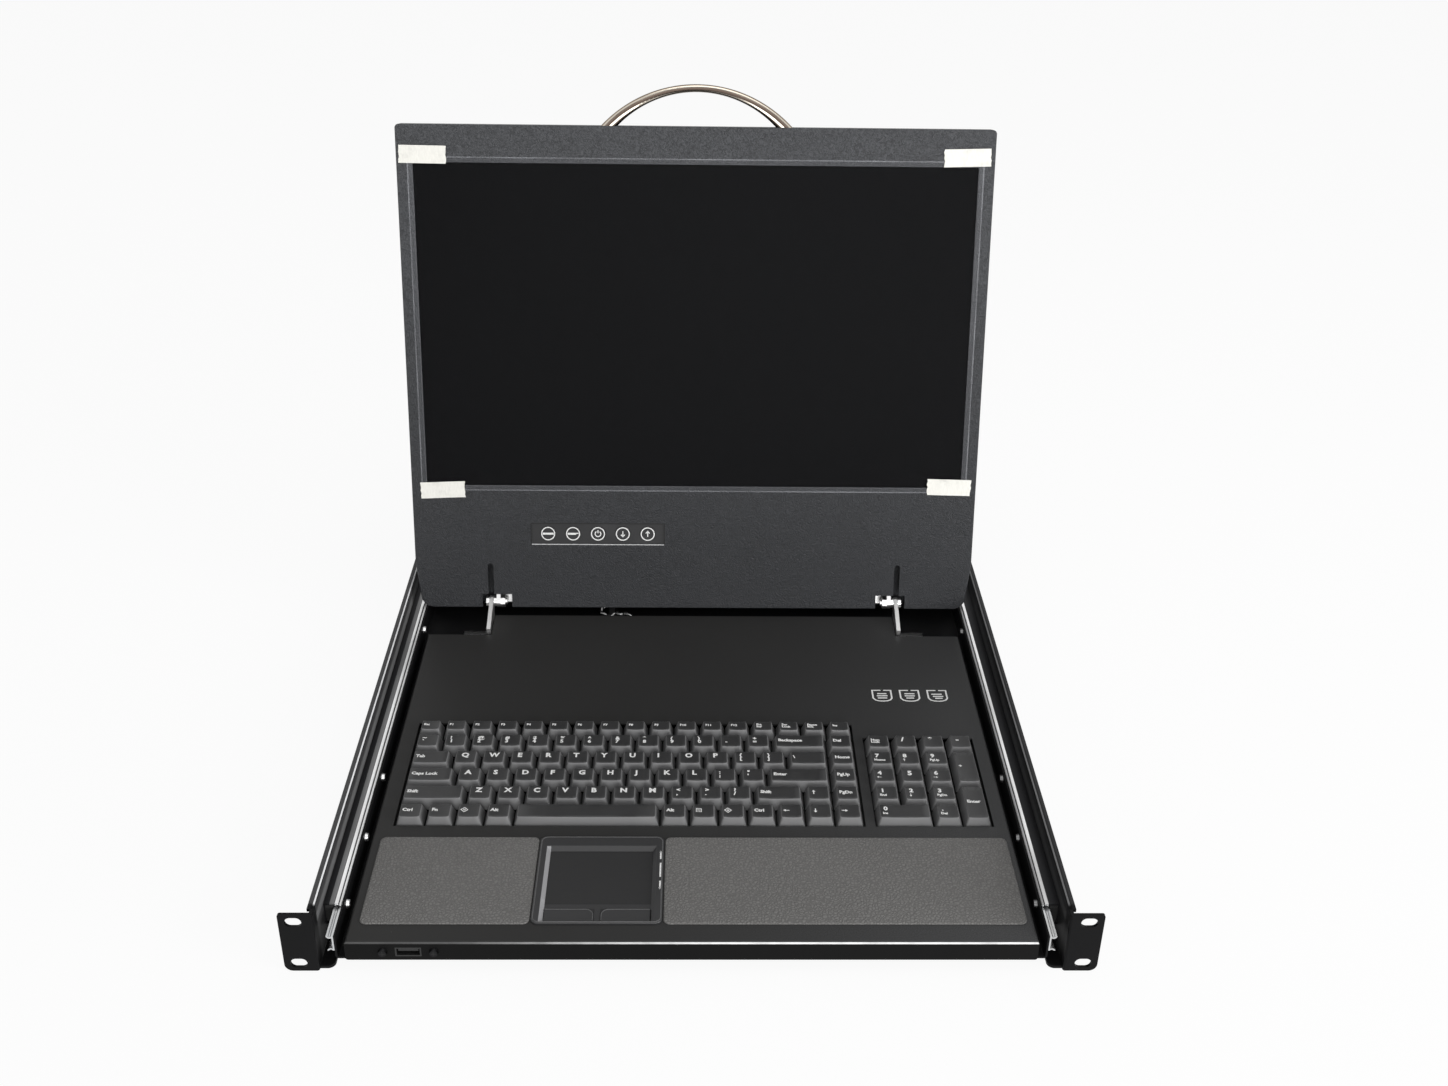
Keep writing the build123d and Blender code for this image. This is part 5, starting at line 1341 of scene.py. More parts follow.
class PickedInstances:
    """A geometry nodes tree that puts one of several templates on each point and makes the result real."""

    def __init__(self, name: str) -> None:
        """Build the tree.

        Args:
            name: the tree's name.
        """
        self.group = bpy.data.node_groups.new(name, "GeometryNodeTree")
        sockets = self.group.interface
        sockets.new_socket("Geometry", in_out="INPUT", socket_type="NodeSocketGeometry")
        self.templates = sockets.new_socket("Templates", in_out="INPUT", socket_type="NodeSocketCollection")
        self.finish = sockets.new_socket("Finish", in_out="INPUT", socket_type="NodeSocketMaterial")
        sockets.new_socket("Geometry", in_out="OUTPUT", socket_type="NodeSocketGeometry")
        start = self._node("NodeGroupInput")
        picked = self._node("GeometryNodeCollectionInfo")
        picked.inputs["Separate Children"].default_value = True
        picked.inputs["Reset Children"].default_value = True
        kind = self._attribute("kind", "INT")
        facing = self._attribute("facing", "FLOAT_VECTOR")
        turned = self._node("FunctionNodeAlignRotationToVector")
        turned.axis = "Z"
        placed = self._node("GeometryNodeInstanceOnPoints")
        placed.inputs["Pick Instance"].default_value = True
        real = self._node("GeometryNodeRealizeInstances")
        coated = self._node("GeometryNodeSetMaterial")
        end = self._node("NodeGroupOutput")
        for source, output, target, entry in (
            (start, "Templates", picked, "Collection"),
            (start, "Geometry", placed, "Points"),
            (picked, 0, placed, "Instance"),
            (kind, "Attribute", placed, "Instance Index"),
            (facing, "Attribute", turned, "Vector"),
            (turned, "Rotation", placed, "Rotation"),
            (placed, "Instances", real, "Geometry"),
            (real, "Geometry", coated, "Geometry"),
            (start, "Finish", coated, "Material"),
            (coated, "Geometry", end, "Geometry"),
        ):
            self.group.links.new(source.outputs[output], target.inputs[entry])

    def _node(self, kind: str) -> bpy.types.Node:
        """Add a node."""
        return self.group.nodes.new(kind)

    def _attribute(self, name: str, data_type: str) -> bpy.types.Node:
        """Read an attribute of the points.

        Args:
            name: the attribute's name.
            data_type: its kind.

        Returns:
            The node that reads it.
        """
        made = self._node("GeometryNodeInputNamedAttribute")
        made.data_type = data_type
        made.inputs["Name"].default_value = name
        return made

    def bake(
        self, name: str, places: Sequence[tuple[Vector, Vector, int]], templates: Sequence[bpy.types.Mesh],
        finish: bpy.types.Material,
    ) -> bpy.types.Mesh:
        """Place the templates and make one plain mesh.

        Args:
            name: the mesh's name.
            places: a point, the way a template's +Z faces and the template's number.
            templates: meshes around their own origin.
            finish: the material of the result.

        Returns:
            The baked mesh.
        """
        store = bpy.data.collections.new("templates")
        bpy.context.scene.collection.children.link(store)
        made = [bpy.data.objects.new(f"template_{index:03d}", mesh) for index, mesh in enumerate(templates)]
        for template in made:
            store.objects.link(template)
        points = bpy.data.meshes.new("places")
        points.from_pydata([tuple(place) for place, _, _ in places], [], [])
        kind = points.attributes.new("kind", "INT", "POINT")
        kind.data.foreach_set("value", [number for _, _, number in places])
        facing = points.attributes.new("facing", "FLOAT_VECTOR", "POINT")
        facing.data.foreach_set("vector", [value for _, way, _ in places for value in way])
        carrier = bpy.data.objects.new("places", points)
        bpy.context.scene.collection.objects.link(carrier)
        modifier = carrier.modifiers.new("instances", "NODES")
        modifier.node_group = self.group
        modifier[self.templates.identifier] = store
        modifier[self.finish.identifier] = finish
        bpy.context.view_layer.update()
        evaluated = carrier.evaluated_get(bpy.context.evaluated_depsgraph_get())
        mesh = bpy.data.meshes.new_from_object(evaluated)
        mesh.name = name
        carrier.modifiers.remove(modifier)
        bpy.data.objects.remove(carrier)
        for template in made:
            bpy.data.objects.remove(template)
        bpy.data.collections.remove(store)
        return mesh


def smooth_path(points: Sequence[Vector], steps: int) -> list[Vector]:
    """Run a smooth line through points.

    Args:
        points: the points, in order.
        steps: spans between two points.

    Returns:
        The points of the line, with the given ones among them.
    """
    ends = [points[0] * 2 - points[1], *points, points[-1] * 2 - points[-2]]
    line = []
    for a, b, c, d in zip(ends, ends[1:], ends[2:], ends[3:]):
        for step in range(steps):
            t = step / steps
            pull = (c - a) * t + (a * 2 - b * 5 + c * 4 - d) * t**2 + (b * 3 - a - c * 3 + d) * t**3
            line.append(b + pull / 2)
    return line + [points[-1]]


def rounded_ring(half: Vector, radius: float, corner_steps: int, edge_steps: int) -> list[Point]:
    """Points round a rounded rectangle, anticlockwise from its right side.

    Args:
        half: half its width and half its depth.
        radius: of its corners.
        corner_steps: spans in each corner.
        edge_steps: spans along its front and back edges.

    Returns:
        The points.
    """
    points: list[Point] = []
    for corner, (way_x, way_y) in enumerate(((1, 1), (-1, 1), (-1, -1), (1, -1))):
        middle = (way_x * (half.x - radius), way_y * (half.y - radius))
        for step in range(corner_steps + 1):
            turn = math.radians(90 * corner + 90 * step / corner_steps)
            points.append(on_circle(middle, radius, turn))
        if corner in (0, 2):
            reach = 2 * (half.x - radius)
            for step in range(1, edge_steps):
                points.append((middle[0] - way_x * reach * step / edge_steps, way_y * half.y))
    return points


@dataclass
class Keyboard:
    """The key caps, their legends and the base under them."""

    finishes: Finishes
    lettering: Lettering
    instances: PickedInstances
    cap_height: float = 8.0 * MM
    cap_smooth: float = 32.0
    top_inset: float = 2.6 * MM
    top_round: float = 0.55 * MM
    foot: Point = (0.1 * MM, 0.45 * MM)
    rim: Point = (-0.12 * MM, 0.22 * MM)
    corner: float = 1.1 * MM
    ring_steps: tuple[int, int] = (3, 6)
    dish: float = 0.4 * MM
    top_rings: Sequence[float] = (0.72, 0.42, 0.14)
    # Per ring of a cap from the base up, the share of painted light: paler skirts and a painted highlight on
    # the rim.
    skirt_light_shares: Sequence[float] = (0.35, 0.5, 0.85, 1.0, 0.08, 0.0, 0.0, 0.0)
    print_lift: float = 0.05 * MM
    print_inset: float = 1.2 * MM
    short_key: float = 8.5 * MM
    single_key: float = 10.0 * MM
    rows: Mapping[str, str] = field(
        default_factory=lambda: {
            "keys_function_row": "Esc F1 F2 F3 F4 F5 F6 F7 F8 F9 F10 F11 F12 Prt|Scr Scr|Lock Pause|Brk Ins",
            "keys_number_row": "~|` !|1 @|2 #|3 $|4 %|5 ^|6 &|7 *|8 (|9 )|0 _|- +|= "
            "Backspace Del Num|Lock / * -",
            "keys_tab_row": "Tab Q W E R T Y U I O P {|[ }|] \\ Home 7|Home 8|^up 9|PgUp",
            "keys_home_row": "Caps_Lock A S D F G H J K L :|; \"|' Enter PgUp 4|^left 5 6|^right +",
            "keys_shift_row": "Shift Z X C V B N M <|, >|. ?|/ Shift ^up PgDn 1|End 2|^down 3|PgDn",
            "keys_space_row": "Ctrl Fn ^mark Alt ^none Alt ^menu ^mark Ctrl ^left ^down ^right "
            "0|Ins .|Del Enter",
        }
    )

    def build(self) -> None:
        """Build and dress every row."""
        for row, words in self.rows.items():
            self._caps(row)
            self._legends(row, words.split(" "))
        dress(self.finishes.key_base, "keyboard_base")

    def _keys(self, row: str) -> list[tuple[Vector, Vector]]:
        """Each cap of a row, from the left.

        Args:
            row: the row's node.

        Returns:
            The middle of each cap's base and half its size.
        """
        found = sorted(islands(row), key=lambda key: key.middle.x)
        return [
            (Vector((key.middle.x, key.middle.y, key.high.z - self.cap_height)), (key.high - key.low) / 2)
            for key in found
        ]

    def _dip(self, x: float, half_top: float) -> float:
        """How far the dished top lies under its rim at a distance from the middle."""
        return self.dish * max(0.0, 1 - (x / half_top) ** 2)

    def _cap(self, half: Vector) -> bpy.types.Mesh:
        """One cap round its own origin, at the middle of its base.

        Args:
            half: half its width and depth at the base.

        Returns:
            The cap's mesh.
        """
        half_top = half.x - self.top_inset
        slope = self.top_inset / self.cap_height
        shoulder = self.cap_height - 2 * self.top_round
        # Each row is an inset, a height and the share of the dish that it takes.
        profile = [
            (0.0, 0.0, 0.0),
            (*self.foot, 0.0),
            (slope * shoulder, shoulder, 0.6),
            (self.top_inset + self.rim[0], self.cap_height - 0.45 * self.top_round, 0.9),
            (self.top_inset + self.rim[1], self.cap_height, 1.0),
        ]
        rings = []
        for inset, height, share in profile:
            size = Vector((half.x - inset, half.y - inset, 0.0))
            ring = rounded_ring(size, self.corner, *self.ring_steps)
            rings.append([Vector((x, y, height - share * self._dip(x, half_top))) for x, y in ring])
        for shrink in self.top_rings:
            ring = [(point.x * shrink, point.y * shrink) for point in rings[len(profile) - 1]]
            rings.append([Vector((x, y, self.cap_height - self._dip(x, half_top))) for x, y in ring])
        builder = MeshBuilder()
        builder.loft(rings)
        mesh = builder.mesh("key_cap")
        # Each point carries its ring's share of painted light.
        shares = [share for share in self.skirt_light_shares for _ in rings[0]]
        mesh.attributes.new("skirt", "FLOAT", "POINT").data.foreach_set("value", shares)
        return mesh

    def _caps(self, row: str) -> None:
        """Build one row's caps.

        Args:
            row: the row's node.
        """
        sizes: list[tuple[float, float]] = []
        places = []
        for middle, half in self._keys(row):
            size = (round(half.x, 5), round(half.y, 5))
            if size not in sizes:
                sizes.append(size)
            places.append((middle, Z_AXIS, sizes.index(size)))
        templates = [self._cap(Vector((*size, 0.0))) for size in sizes]
        mesh = self.instances.bake(f"{row}_caps", places, templates, self.finishes.cap)
        show(mesh, self.finishes.cap, row, self.cap_smooth, [row])

    def _legends(self, row: str, words: Sequence[str]) -> None:
        """Print one row's legends.

        Args:
            row: the row's node.
            words: one entry per key, with a bar between two lines and a caret before a symbol.
        """
        builder = MeshBuilder()
        for (middle, half), word in zip(self._keys(row), words, strict=True):
            half_top = half.x - self.top_inset
            upper, _, lower = word.replace("_", " ").partition("|") if len(word) > 2 else (word, "", "")
            for points, faces in self._marks(upper, lower, half):
                builder.add(
                    [
                        middle
                        + Vector((x, y, self.cap_height - self._dip(x, half_top) + self.print_lift))
                        for x, y in points
                    ],
                    faces,
                )
        show(builder.mesh(f"{row}_legends"), self.finishes.ink, row)

    def _legend(self, upper: str, lower: str, half: Vector) -> Legend:
        """Choose how a key is printed.

        Args:
            upper: its first line.
            lower: its second line, or nothing.
            half: half the key's size at the base.

        Returns:
            The layout.
        """
        short = half.y < self.short_key
        if lower and len(upper) == 1:
            return Legend.PAIR if len(lower) == 1 and not short else Legend.NUMBER
        if lower:
            return Legend.STACK
        if len(upper) == 1 and max(half.x, half.y) < self.single_key:
            return Legend.LETTER
        return Legend.SMALL if short else Legend.WORD

    def _marks(self, upper: str, lower: str, half: Vector) -> Iterable[Flat]:
        """Set the lines of one key.

        Args:
            upper: its first line.
            lower: its second line, or nothing.
            half: half the key's size at the base.

        Returns:
            Points round the key's middle and their faces, line by line.
        """
        left = self.top_inset + self.print_inset - half.x
        for word, (size, x, y) in zip((upper, lower), self._legend(upper, lower, half).value):
            yield self._word(word, size * MM, left + x * MM, y * MM)

    def _word(self, word: str, size: float, x: float, y: float) -> Flat:
        """Set one word or symbol at a place on a key's top.

        Args:
            word: the word, or a symbol's word.
            size: the type size.
            x: the left end of the word.
            y: the middle of its height.

        Returns:
            Points round the key's middle and their faces.
        """
        drawn = word.startswith("^") and len(word) > 1
        points, faces = self._symbol(Symbol(word), size) if drawn else self.lettering.faces(word, size)
        return [(px + x, py + y) for px, py in points], faces

    @staticmethod
    def _symbol(symbol: Symbol, size: float) -> Flat:
        """Draw a symbol about as wide as its type size, from the anchor to the right.

        Args:
            symbol: which one.
            size: the type size.

        Returns:
            Points and faces.
        """
        strokes = Strokes(Vector((size * 0.5, 0.0, 0.0)))
        turns = {Symbol.RIGHT: 0, Symbol.UP: 90, Symbol.LEFT: 180, Symbol.DOWN: 270}
        if symbol in turns:
            turn = Matrix.Rotation(math.radians(turns[symbol]), 2)
            shaft = [turn @ Vector((place * size, 0.0)) for place in (-0.5, 0.2)]
            tip = [turn @ Vector((x * size, y * size)) for x, y in ((0.1, -0.3), (0.55, 0.0), (0.1, 0.3))]
            strokes.line([tuple(point) for point in shaft], size * 0.16)
            strokes.fill([tuple(point) for point in tip])
        elif symbol is Symbol.MENU:
            box = [(-0.4, -0.4), (0.4, -0.4), (0.4, 0.4), (-0.4, 0.4)]
            strokes.line([(x * size, y * size) for x, y in box], size * 0.12, closed=True)
            for place in (-0.15, 0.12):
                strokes.line([(-0.25 * size, place * size), (0.25 * size, place * size)], size * 0.1)
        elif symbol is Symbol.MARK:
            diamond = [(0.0, -0.55), (0.55, 0.0), (0.0, 0.55), (-0.55, 0.0)]
            strokes.line([(x * size, y * size) for x, y in diamond], size * 0.14, closed=True)
            strokes.ring(size * 0.14, size * 0.12)
        points = [(point.x, point.y) for point in strokes.builder.points]
        return points, strokes.builder.faces


@dataclass
class WristRest:
    """The two vinyl pads, the touchpad between them and its printed scroll marks."""

    finishes: Finishes
    crown: float = 0.35 * MM
    crown_rings: Sequence[float] = (0.9, 0.75, 0.5, 0.2)
    roll: float = 0.9 * MM
    roll_profile: Sequence[Point] = (
        (0.25, 0.0), (0.0, 0.3), (0.05, 0.55), (0.3, 0.82), (0.75, 0.96), (1.5, 1.0),
    )
    pad_smooth: float = 40.0
    pad_steps: tuple[int, int] = (6, 24)
    corner: float = 4.0 * MM
    mark_width: float = 0.95 * MM
    button_corner: float = 5.0 * MM
    edge_line: float = 0.6 * MM
    bead_rise: float = 0.2 * MM
    rim_inset: float = 1.0 * MM
    rim_corner: float = 4.0 * MM
    rim_lift: float = 0.01 * MM
    rim_steps: tuple[int, int] = (6, 8)
    edge_inset: float = 0.45 * MM
    edge_lift: float = 0.02 * MM
    corner_steps: int = 8
    corner_sink: float = 0.25 * MM
    corner_gap: float = 0.2 * MM
    corner_laps: Point = (0.1 * MM, 0.3 * MM)
    mark_lift: float = 0.03 * MM
    mark_inset: float = 1.9 * MM
    mark_back: float = 7.5 * MM
    mark_lines: Sequence[Point] = ((-17.0, -10.0), (-6.5, 6.5), (10.0, 17.0))
    mark_tip: float = 17.4
    mark_arrow: Sequence[Point] = ((-0.9, -1.2), (0.9, -1.2), (0.0, 0.4))

    def build(self) -> None:
        """Build the pads and dress the touchpad."""
        for side in Side:
            self._pad(side.of("wrist_pad"))
            dress(self.finishes.touch, side.of("touchpad_button"))
        dress(self.finishes.touch, "touchpad_frame")
        dress(self.finishes.touch_face, "touchpad_surface")
        self._scroll_marks()
        self._button_corners()
        self._frame_rim()
        for side in Side:
            self._button_edge(side)

    def _quarter(self) -> list[float]:
        """The angles of a quarter turn, in radians."""
        return [math.radians(90 * step / self.corner_steps) for step in range(self.corner_steps + 1)]

    def _frame_rim(self) -> None:
        """Run a low moulded bead round the top of the touchpad frame, painted paler as a highlight."""
        low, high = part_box("touchpad_frame")
        middle, half = (low + high) / 2, (high - low) / 2
        size = Vector((half.x - self.rim_inset, half.y - self.rim_inset, 0.0))
        strokes = Strokes(Vector((middle.x, middle.y, high.z + self.rim_lift)))
        ring = rounded_ring(size, self.rim_corner, *self.rim_steps)
        strokes.line(ring, self.edge_line, closed=True, rise=self.bead_rise)
        strokes.show("touchpad_frame_rim", self.finishes.button_edge, Body.DRAWER.value, "touch")

    def _button_edge(self, side: Side) -> None:
        """Draw the moulded edge along a touchpad button's back and its rounded inner corner, painted pale as
        a highlight.

        Args:
            side: the button's side.
        """
        node, way = side.of("touchpad_button"), side.value
        low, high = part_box(node)
        outer, inner = (low.x, high.x) if side is Side.LEFT else (high.x, low.x)
        inset = self.edge_inset
        reach = self.button_corner - inset
        x, y = inner + way * (inset + reach), high.y - inset - reach
        arc = [(x - way * reach * math.sin(turn), y + reach * math.cos(turn)) for turn in self._quarter()]
        points = [(outer - way * inset, high.y - inset)] + arc + [(inner + way * inset, low.y + inset)]
        strokes = Strokes(Vector((0.0, 0.0, high.z + self.edge_lift)))
        strokes.line(points, self.edge_line, rise=self.bead_rise)
        mesh = strokes.builder.mesh(f"{node}_edge")
        if side is Side.RIGHT:
            mesh.flip_normals()
        show(mesh, self.finishes.button_edge, node)

    def _button_corners(self) -> None:
        """Close the frame's floor round the rounded inner corner of each touchpad button."""
        builder = MeshBuilder()
        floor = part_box("touchpad_button_left")[1].z - self.corner_sink
        reach = self.button_corner + self.corner_gap
        arc_reach, corner_reach = (reach + lap for lap in self.corner_laps)
        for side in Side:
            way = side.value
            low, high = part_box(side.of("touchpad_button"))
            inner = high.x if side is Side.LEFT else low.x
            middle = Vector((inner + way * reach, high.y - reach, floor))
            ways = [Vector((-way * math.cos(turn), math.sin(turn), 0.0)) for turn in self._quarter()]
            corner = middle + Vector((-way * corner_reach, corner_reach, 0.0))
            faces = [(0, step, step + 1)[::-way] for step in range(1, self.corner_steps + 1)]
            builder.add([corner] + [middle + out * arc_reach for out in ways], faces)
        mesh = builder.mesh("touchpad_button_corners")
        for polygon in mesh.polygons:
            if polygon.normal.z < 0:
                polygon.flip()
        show(mesh, self.finishes.touch_face, Body.DRAWER.value)

    def _pad(self, node: str) -> None:
        """Build one pad: a low crowned cushion with a rolled edge.

        Args:
            node: the CAD pad that it stands for.
        """
        low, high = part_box(node)
        middle, half = (low + high) / 2, (high - low) / 2
        height = high.z - low.z
        rings = []
        for inset, rise in self.roll_profile:
            size = Vector((half.x - inset * self.roll, half.y - inset * self.roll, 0.0))
            ring = rounded_ring(size, self.corner - inset * self.roll, *self.pad_steps)
            level = low.z + rise * (height - self.crown)
            rings.append([Vector((middle.x + x, middle.y + y, level)) for x, y in ring])
        for shrink in self.crown_rings:
            swell = self.crown * (1 - shrink**4)
            level = low.z + height - self.crown + swell
            ring = [(point.x - middle.x, point.y - middle.y) for point in rings[len(self.roll_profile) - 1]]
            rings.append([Vector((middle.x + x * shrink, middle.y + y * shrink, level)) for x, y in ring])
        builder = MeshBuilder()
        builder.loft(rings)
        mesh = builder.mesh(f"{node}_vinyl")
        piece = show(mesh, self.finishes.pad, Body.DRAWER.value, self.pad_smooth, [node])

    def _scroll_marks(self) -> None:
        """Print the scroll marks on the touchpad frame's right side."""
        low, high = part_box("touchpad_frame")
        middle = (low.y + high.y) / 2 + self.mark_back
        origin = Vector((high.x - self.mark_inset, middle, high.z + self.mark_lift))
        strokes = Strokes(origin)
        for start, end in self.mark_lines:
            strokes.line([(0.0, start * MM), (0.0, end * MM)], self.mark_width)
        for way in (1, -1):
            tip = way * self.mark_tip
            points = [(x * MM, (tip + way * y) * MM) for x, y in self.mark_arrow]
            strokes.fill(points if way > 0 else points[::-1])
        strokes.show("scroll_marks", self.finishes.ink, Body.DRAWER.value, "touch")


@dataclass
class Fasteners:
    """A painted shade cross for the recess in every screw head."""

    finishes: Finishes
    instances: PickedInstances
    arm: float = 1.55 * MM
    blade: float = 0.42 * MM
    lift: float = 0.03 * MM
    flatness: float = 0.01 * MM

    def build(self) -> None:
        """Add a painted shade cross on each screw's head and dress the screws."""
        for node, body, finish in (
            ("drawer_screws", Body.DRAWER, self.finishes.drawer_screw),
            ("bracket_screws", Body.RAILS, self.finishes.black_screw),
        ):
            dress(finish, node)
            places = [(*self._head(screw), 0) for screw in islands(node)]
            dark = self.finishes.dark
            # Painted shade: a flat dark cross on each head stands in for its recess.
            mesh = self.instances.bake(f"{node}_recesses", places, [self._recess()], dark)
            show(mesh, dark, body.value)
        dress(self.finishes.screw, "handle_screws")

    def _head(self, screw: Island) -> tuple[Vector, Vector]:
        """Find the top of a screw's head.

        Args:
            screw: the screw's solid.

        Returns:
            The middle of the head's top and the way it faces.
        """
        size = screw.high - screw.low
        axis = min(range(3), key=lambda k: abs(size[(k + 1) % 3] - size[(k + 2) % 3]))
        ends = {}
        for way, level in ((-1, screw.low[axis]), (1, screw.high[axis])):
            rim = [point for point in screw.points if abs(point[axis] - level) < self.flatness]
            ends[way] = max(
                math.dist(
                    [c for k, c in enumerate(point) if k != axis],
                    [c for k, c in enumerate(screw.middle) if k != axis],
                )
                for point in rim
            )
        way = max(ends, key=lambda key: ends[key])
        facing = Vector((0.0, 0.0, 0.0))
        facing[axis] = float(way)
        top = screw.middle.copy()
        top[axis] = screw.high[axis] if way > 0 else screw.low[axis]
        return top, facing

    def _recess(self) -> bpy.types.Mesh:
        """Draw a cross of painted shade, flat on a head's top, for its recess.

        Returns:
            The cross, round its own origin.
        """
        strokes = Strokes(Vector((0.0, 0.0, self.lift)))
        a, b = self.arm, self.blade
        half = [(b, -a), (b, -b), (a, -b), (a, b), (b, b), (b, a)]
        strokes.fill(half + [(-x, -y) for x, y in half])
        return strokes.builder.mesh("cross_recess")


@dataclass
class Rack:
    """Rails, rear brackets and ball slides."""

    finishes: Finishes

    def build(self) -> None:
        """Dress the nodes."""
        for side in Side:
            dress(self.finishes.rail, side.of("rail"))
            dress(self.finishes.rack, side.of("rear_bracket"))
            dress(self.finishes.slide, side.of("slide_outer"))
            dress(self.finishes.zinc, side.of("slide_inner"))
        dress(self.finishes.zinc, "slide_rivets", "ball_cages")
        dress(self.finishes.ball, "bearing_balls")
        dress(self.finishes.rubber, "slide_bumpers")


@dataclass
class Tray:
    """The tray, its deck with the printed lock marks, the front socket and a pair of thin wires."""

    finishes: Finishes
    mark_gap: float = 9.0 * MM
    mark_half: float = 6.8 * MM
    mark_line: float = 1.15 * MM
    mark_lift: float = 0.04 * MM
    shield: Sequence[Point] = ((1.0, 1.0), (1.0, -0.45), (0.8, -0.78), (0.45, -0.95), (0.0, -1.0))
    shield_gaps: Sequence[Point] = ((-1, 0.08), (1, 0.2))
    bar_ratio: float = 1.15
    bars: Sequence[Sequence[tuple[float, float, float]]] = (
        ((-0.5, 0.5, 0.38), (-0.58, 0.58, -0.02), (-0.5, 0.5, -0.42)),
        ((-0.55, 0.55, 0.38), (-0.55, 0.55, -0.02), (-0.42, 0.42, -0.42)),
        ((-0.62, 0.5, 0.3), (-0.5, 0.62, -0.1), (-0.3, 0.5, -0.45)),
    )
    wire_radius: float = 0.55 * MM
    wire_pitch: float = 9.0 * MM
    wire_sides: int = 8
    wire_steps: int = 10
    wire_apart: float = 1.05
    wire_smooth: float = 50.0
    wire_route: Sequence[tuple[float, float, float]] = (
        (-67.5, 392.5, -3.6), (-68.5, 385.0, -3.4), (-73.0, 375.0, -2.4), (-73.6, 368.4, -1.6),
        (-69.0, 363.0, -1.5), (-64.8, 363.2, -1.5), (-61.0, 367.4, -1.6), (-57.8, 364.2, -1.6),
        (-54.8, 367.2, -1.8), (-50.8, 364.2, -2.2), (-47.5, 359.0, -4.5), (-46.0, 350.0, -8.0),
        (-46.0, 338.0, -9.4),
    )

    def build(self) -> None:
        """Dress the nodes, print the marks and lay the wires."""
        dress(self.finishes.rack, "tray_pan")
        dress(self.finishes.deck, "keyboard_deck")
        dress(self.finishes.lens, "lock_indicators")
        dress(self.finishes.inlet, "usb_socket")
        dress(self.finishes.cable, "keyboard_cable")
        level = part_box("keyboard_deck")[1].z + self.mark_lift
        lenses = sorted(islands("lock_indicators"), key=lambda lens: lens.middle.x)
        for number, lens in enumerate(lenses):
            self._lock_mark(number, Vector((lens.middle.x, lens.middle.y - self.mark_gap, level)))
        self._wire("deck_wire_light", self.finishes.wire, 0.0)
        self._wire("deck_wire_dark", self.finishes.cable, math.pi)

    def _wire(self, name: str, finish: bpy.types.Material, phase: float) -> None:
        """Build one wire of the twisted pair that leaves the rear housing's notch and dives under the deck.

        Args:
            name: the piece's name.
            finish: its jacket.
            phase: where it starts round the pair's middle, in radians.
        """
        path = smooth_path([Vector(point) * MM for point in self.wire_route], self.wire_steps)
        sides = [math.tau * side / self.wire_sides for side in range(self.wire_sides)]
        radius = self.wire_radius
        rings, travelled = [], 0.0
        for index, point in enumerate(path):
            before, after = path[max(0, index - 1)], path[min(len(path) - 1, index + 1)]
            travelled += (point - before).length
            ahead = (after - before).normalized()
            across = ahead.cross(Z_AXIS).normalized()
            rise = across.cross(ahead)
            turn = phase + math.tau * travelled / self.wire_pitch
            middle = point + (across * math.cos(turn) + rise * math.sin(turn)) * radius * self.wire_apart
            ways = [across * math.cos(angle) + rise * math.sin(angle) for angle in sides]
            rings.append([middle + way * radius for way in ways])
        builder = MeshBuilder()
        builder.loft(rings)
        show(builder.mesh(name, turn_out=True), finish, Body.DRAWER.value, self.wire_smooth)

    def _lock_mark(self, number: int, place: Vector) -> None:
        """Print one lock mark: a shield open at the top, with its own bars inside.

        Args:
            number: 0 for numbers, 1 for capitals, 2 for scrolling.
            place: the middle of the mark.
        """
        strokes = Strokes(place)
        h, line = self.mark_half, self.mark_line
        for side, gap in self.shield_gaps:
            strokes.line([(side * x * h, y * h) for x, y in ((gap, 1.0), *self.shield)], line)
        for left, right, level in self.bars[number]:
            strokes.line([(left * h, level * h), (right * h, level * h)], line * self.bar_ratio)
        strokes.show(f"lock_mark_{number + 1}", self.finishes.ink, Body.DRAWER.value, "deck_black")


@dataclass
class LidPlane:
    """The lid's front face: its directions and its places in the object's frame."""

    up: Vector = field(init=False)
    out: Vector = field(init=False)
    base: float = field(init=False)
    face: float = field(init=False)

    def __post_init__(self) -> None:
        """Read the directions from a screen button's joint and the face from the bezel."""
        joint = next(j for j in frame["joints"] if j["name"] == "screen_button_1_press")
        self.out = -Vector(joint["axis"]).normalized()
        self.up = self.out.cross(X_AXIS)
        points = [vertex.co for vertex in frame["nodes"]["lid_bezel"].data.vertices]
        self.base = min(point.dot(self.up) for point in points)
        self.face = max(point.dot(self.out) for point in points)

    def film_limits(self) -> tuple[float, float, float]:
        """Measure the film.

        Returns:
            Its half width, and its lower and upper ends along the lid's up direction.
        """
        points = [vertex.co for vertex in frame["nodes"]["screen_film"].data.vertices]
        heights = [point.dot(self.up) for point in points]
        return max(point.x for point in points), min(heights), max(heights)

    def handle_arc(self) -> tuple[float, float]:
        """Measure the handle's arc.

        Returns:
            The height of its centre along the lid's up direction, and its radius.
        """
        points = [vertex.co for vertex in frame["nodes"]["lid_handle"].data.vertices]
        half = max(point.x for point in points)
        heights = [point.dot(self.up) for point in points]
        rise = max(heights) - min(heights)
        radius = (half**2 + rise**2) / (2 * rise)
        return max(heights) - radius, radius

    def at(self, x: float, height: float, proud: float = 0.0) -> Vector:
        """A point by its width, its height up the lid and how far it stands out of the face."""
        return Vector((x, 0.0, 0.0)) + self.up * (self.base + height) + self.out * (self.face + proud)

    def flat(self, point: Vector) -> tuple[float, float, float]:
        """The width, height and standing out of a point."""
        return point.x, point.dot(self.up) - self.base, point.dot(self.out) - self.face


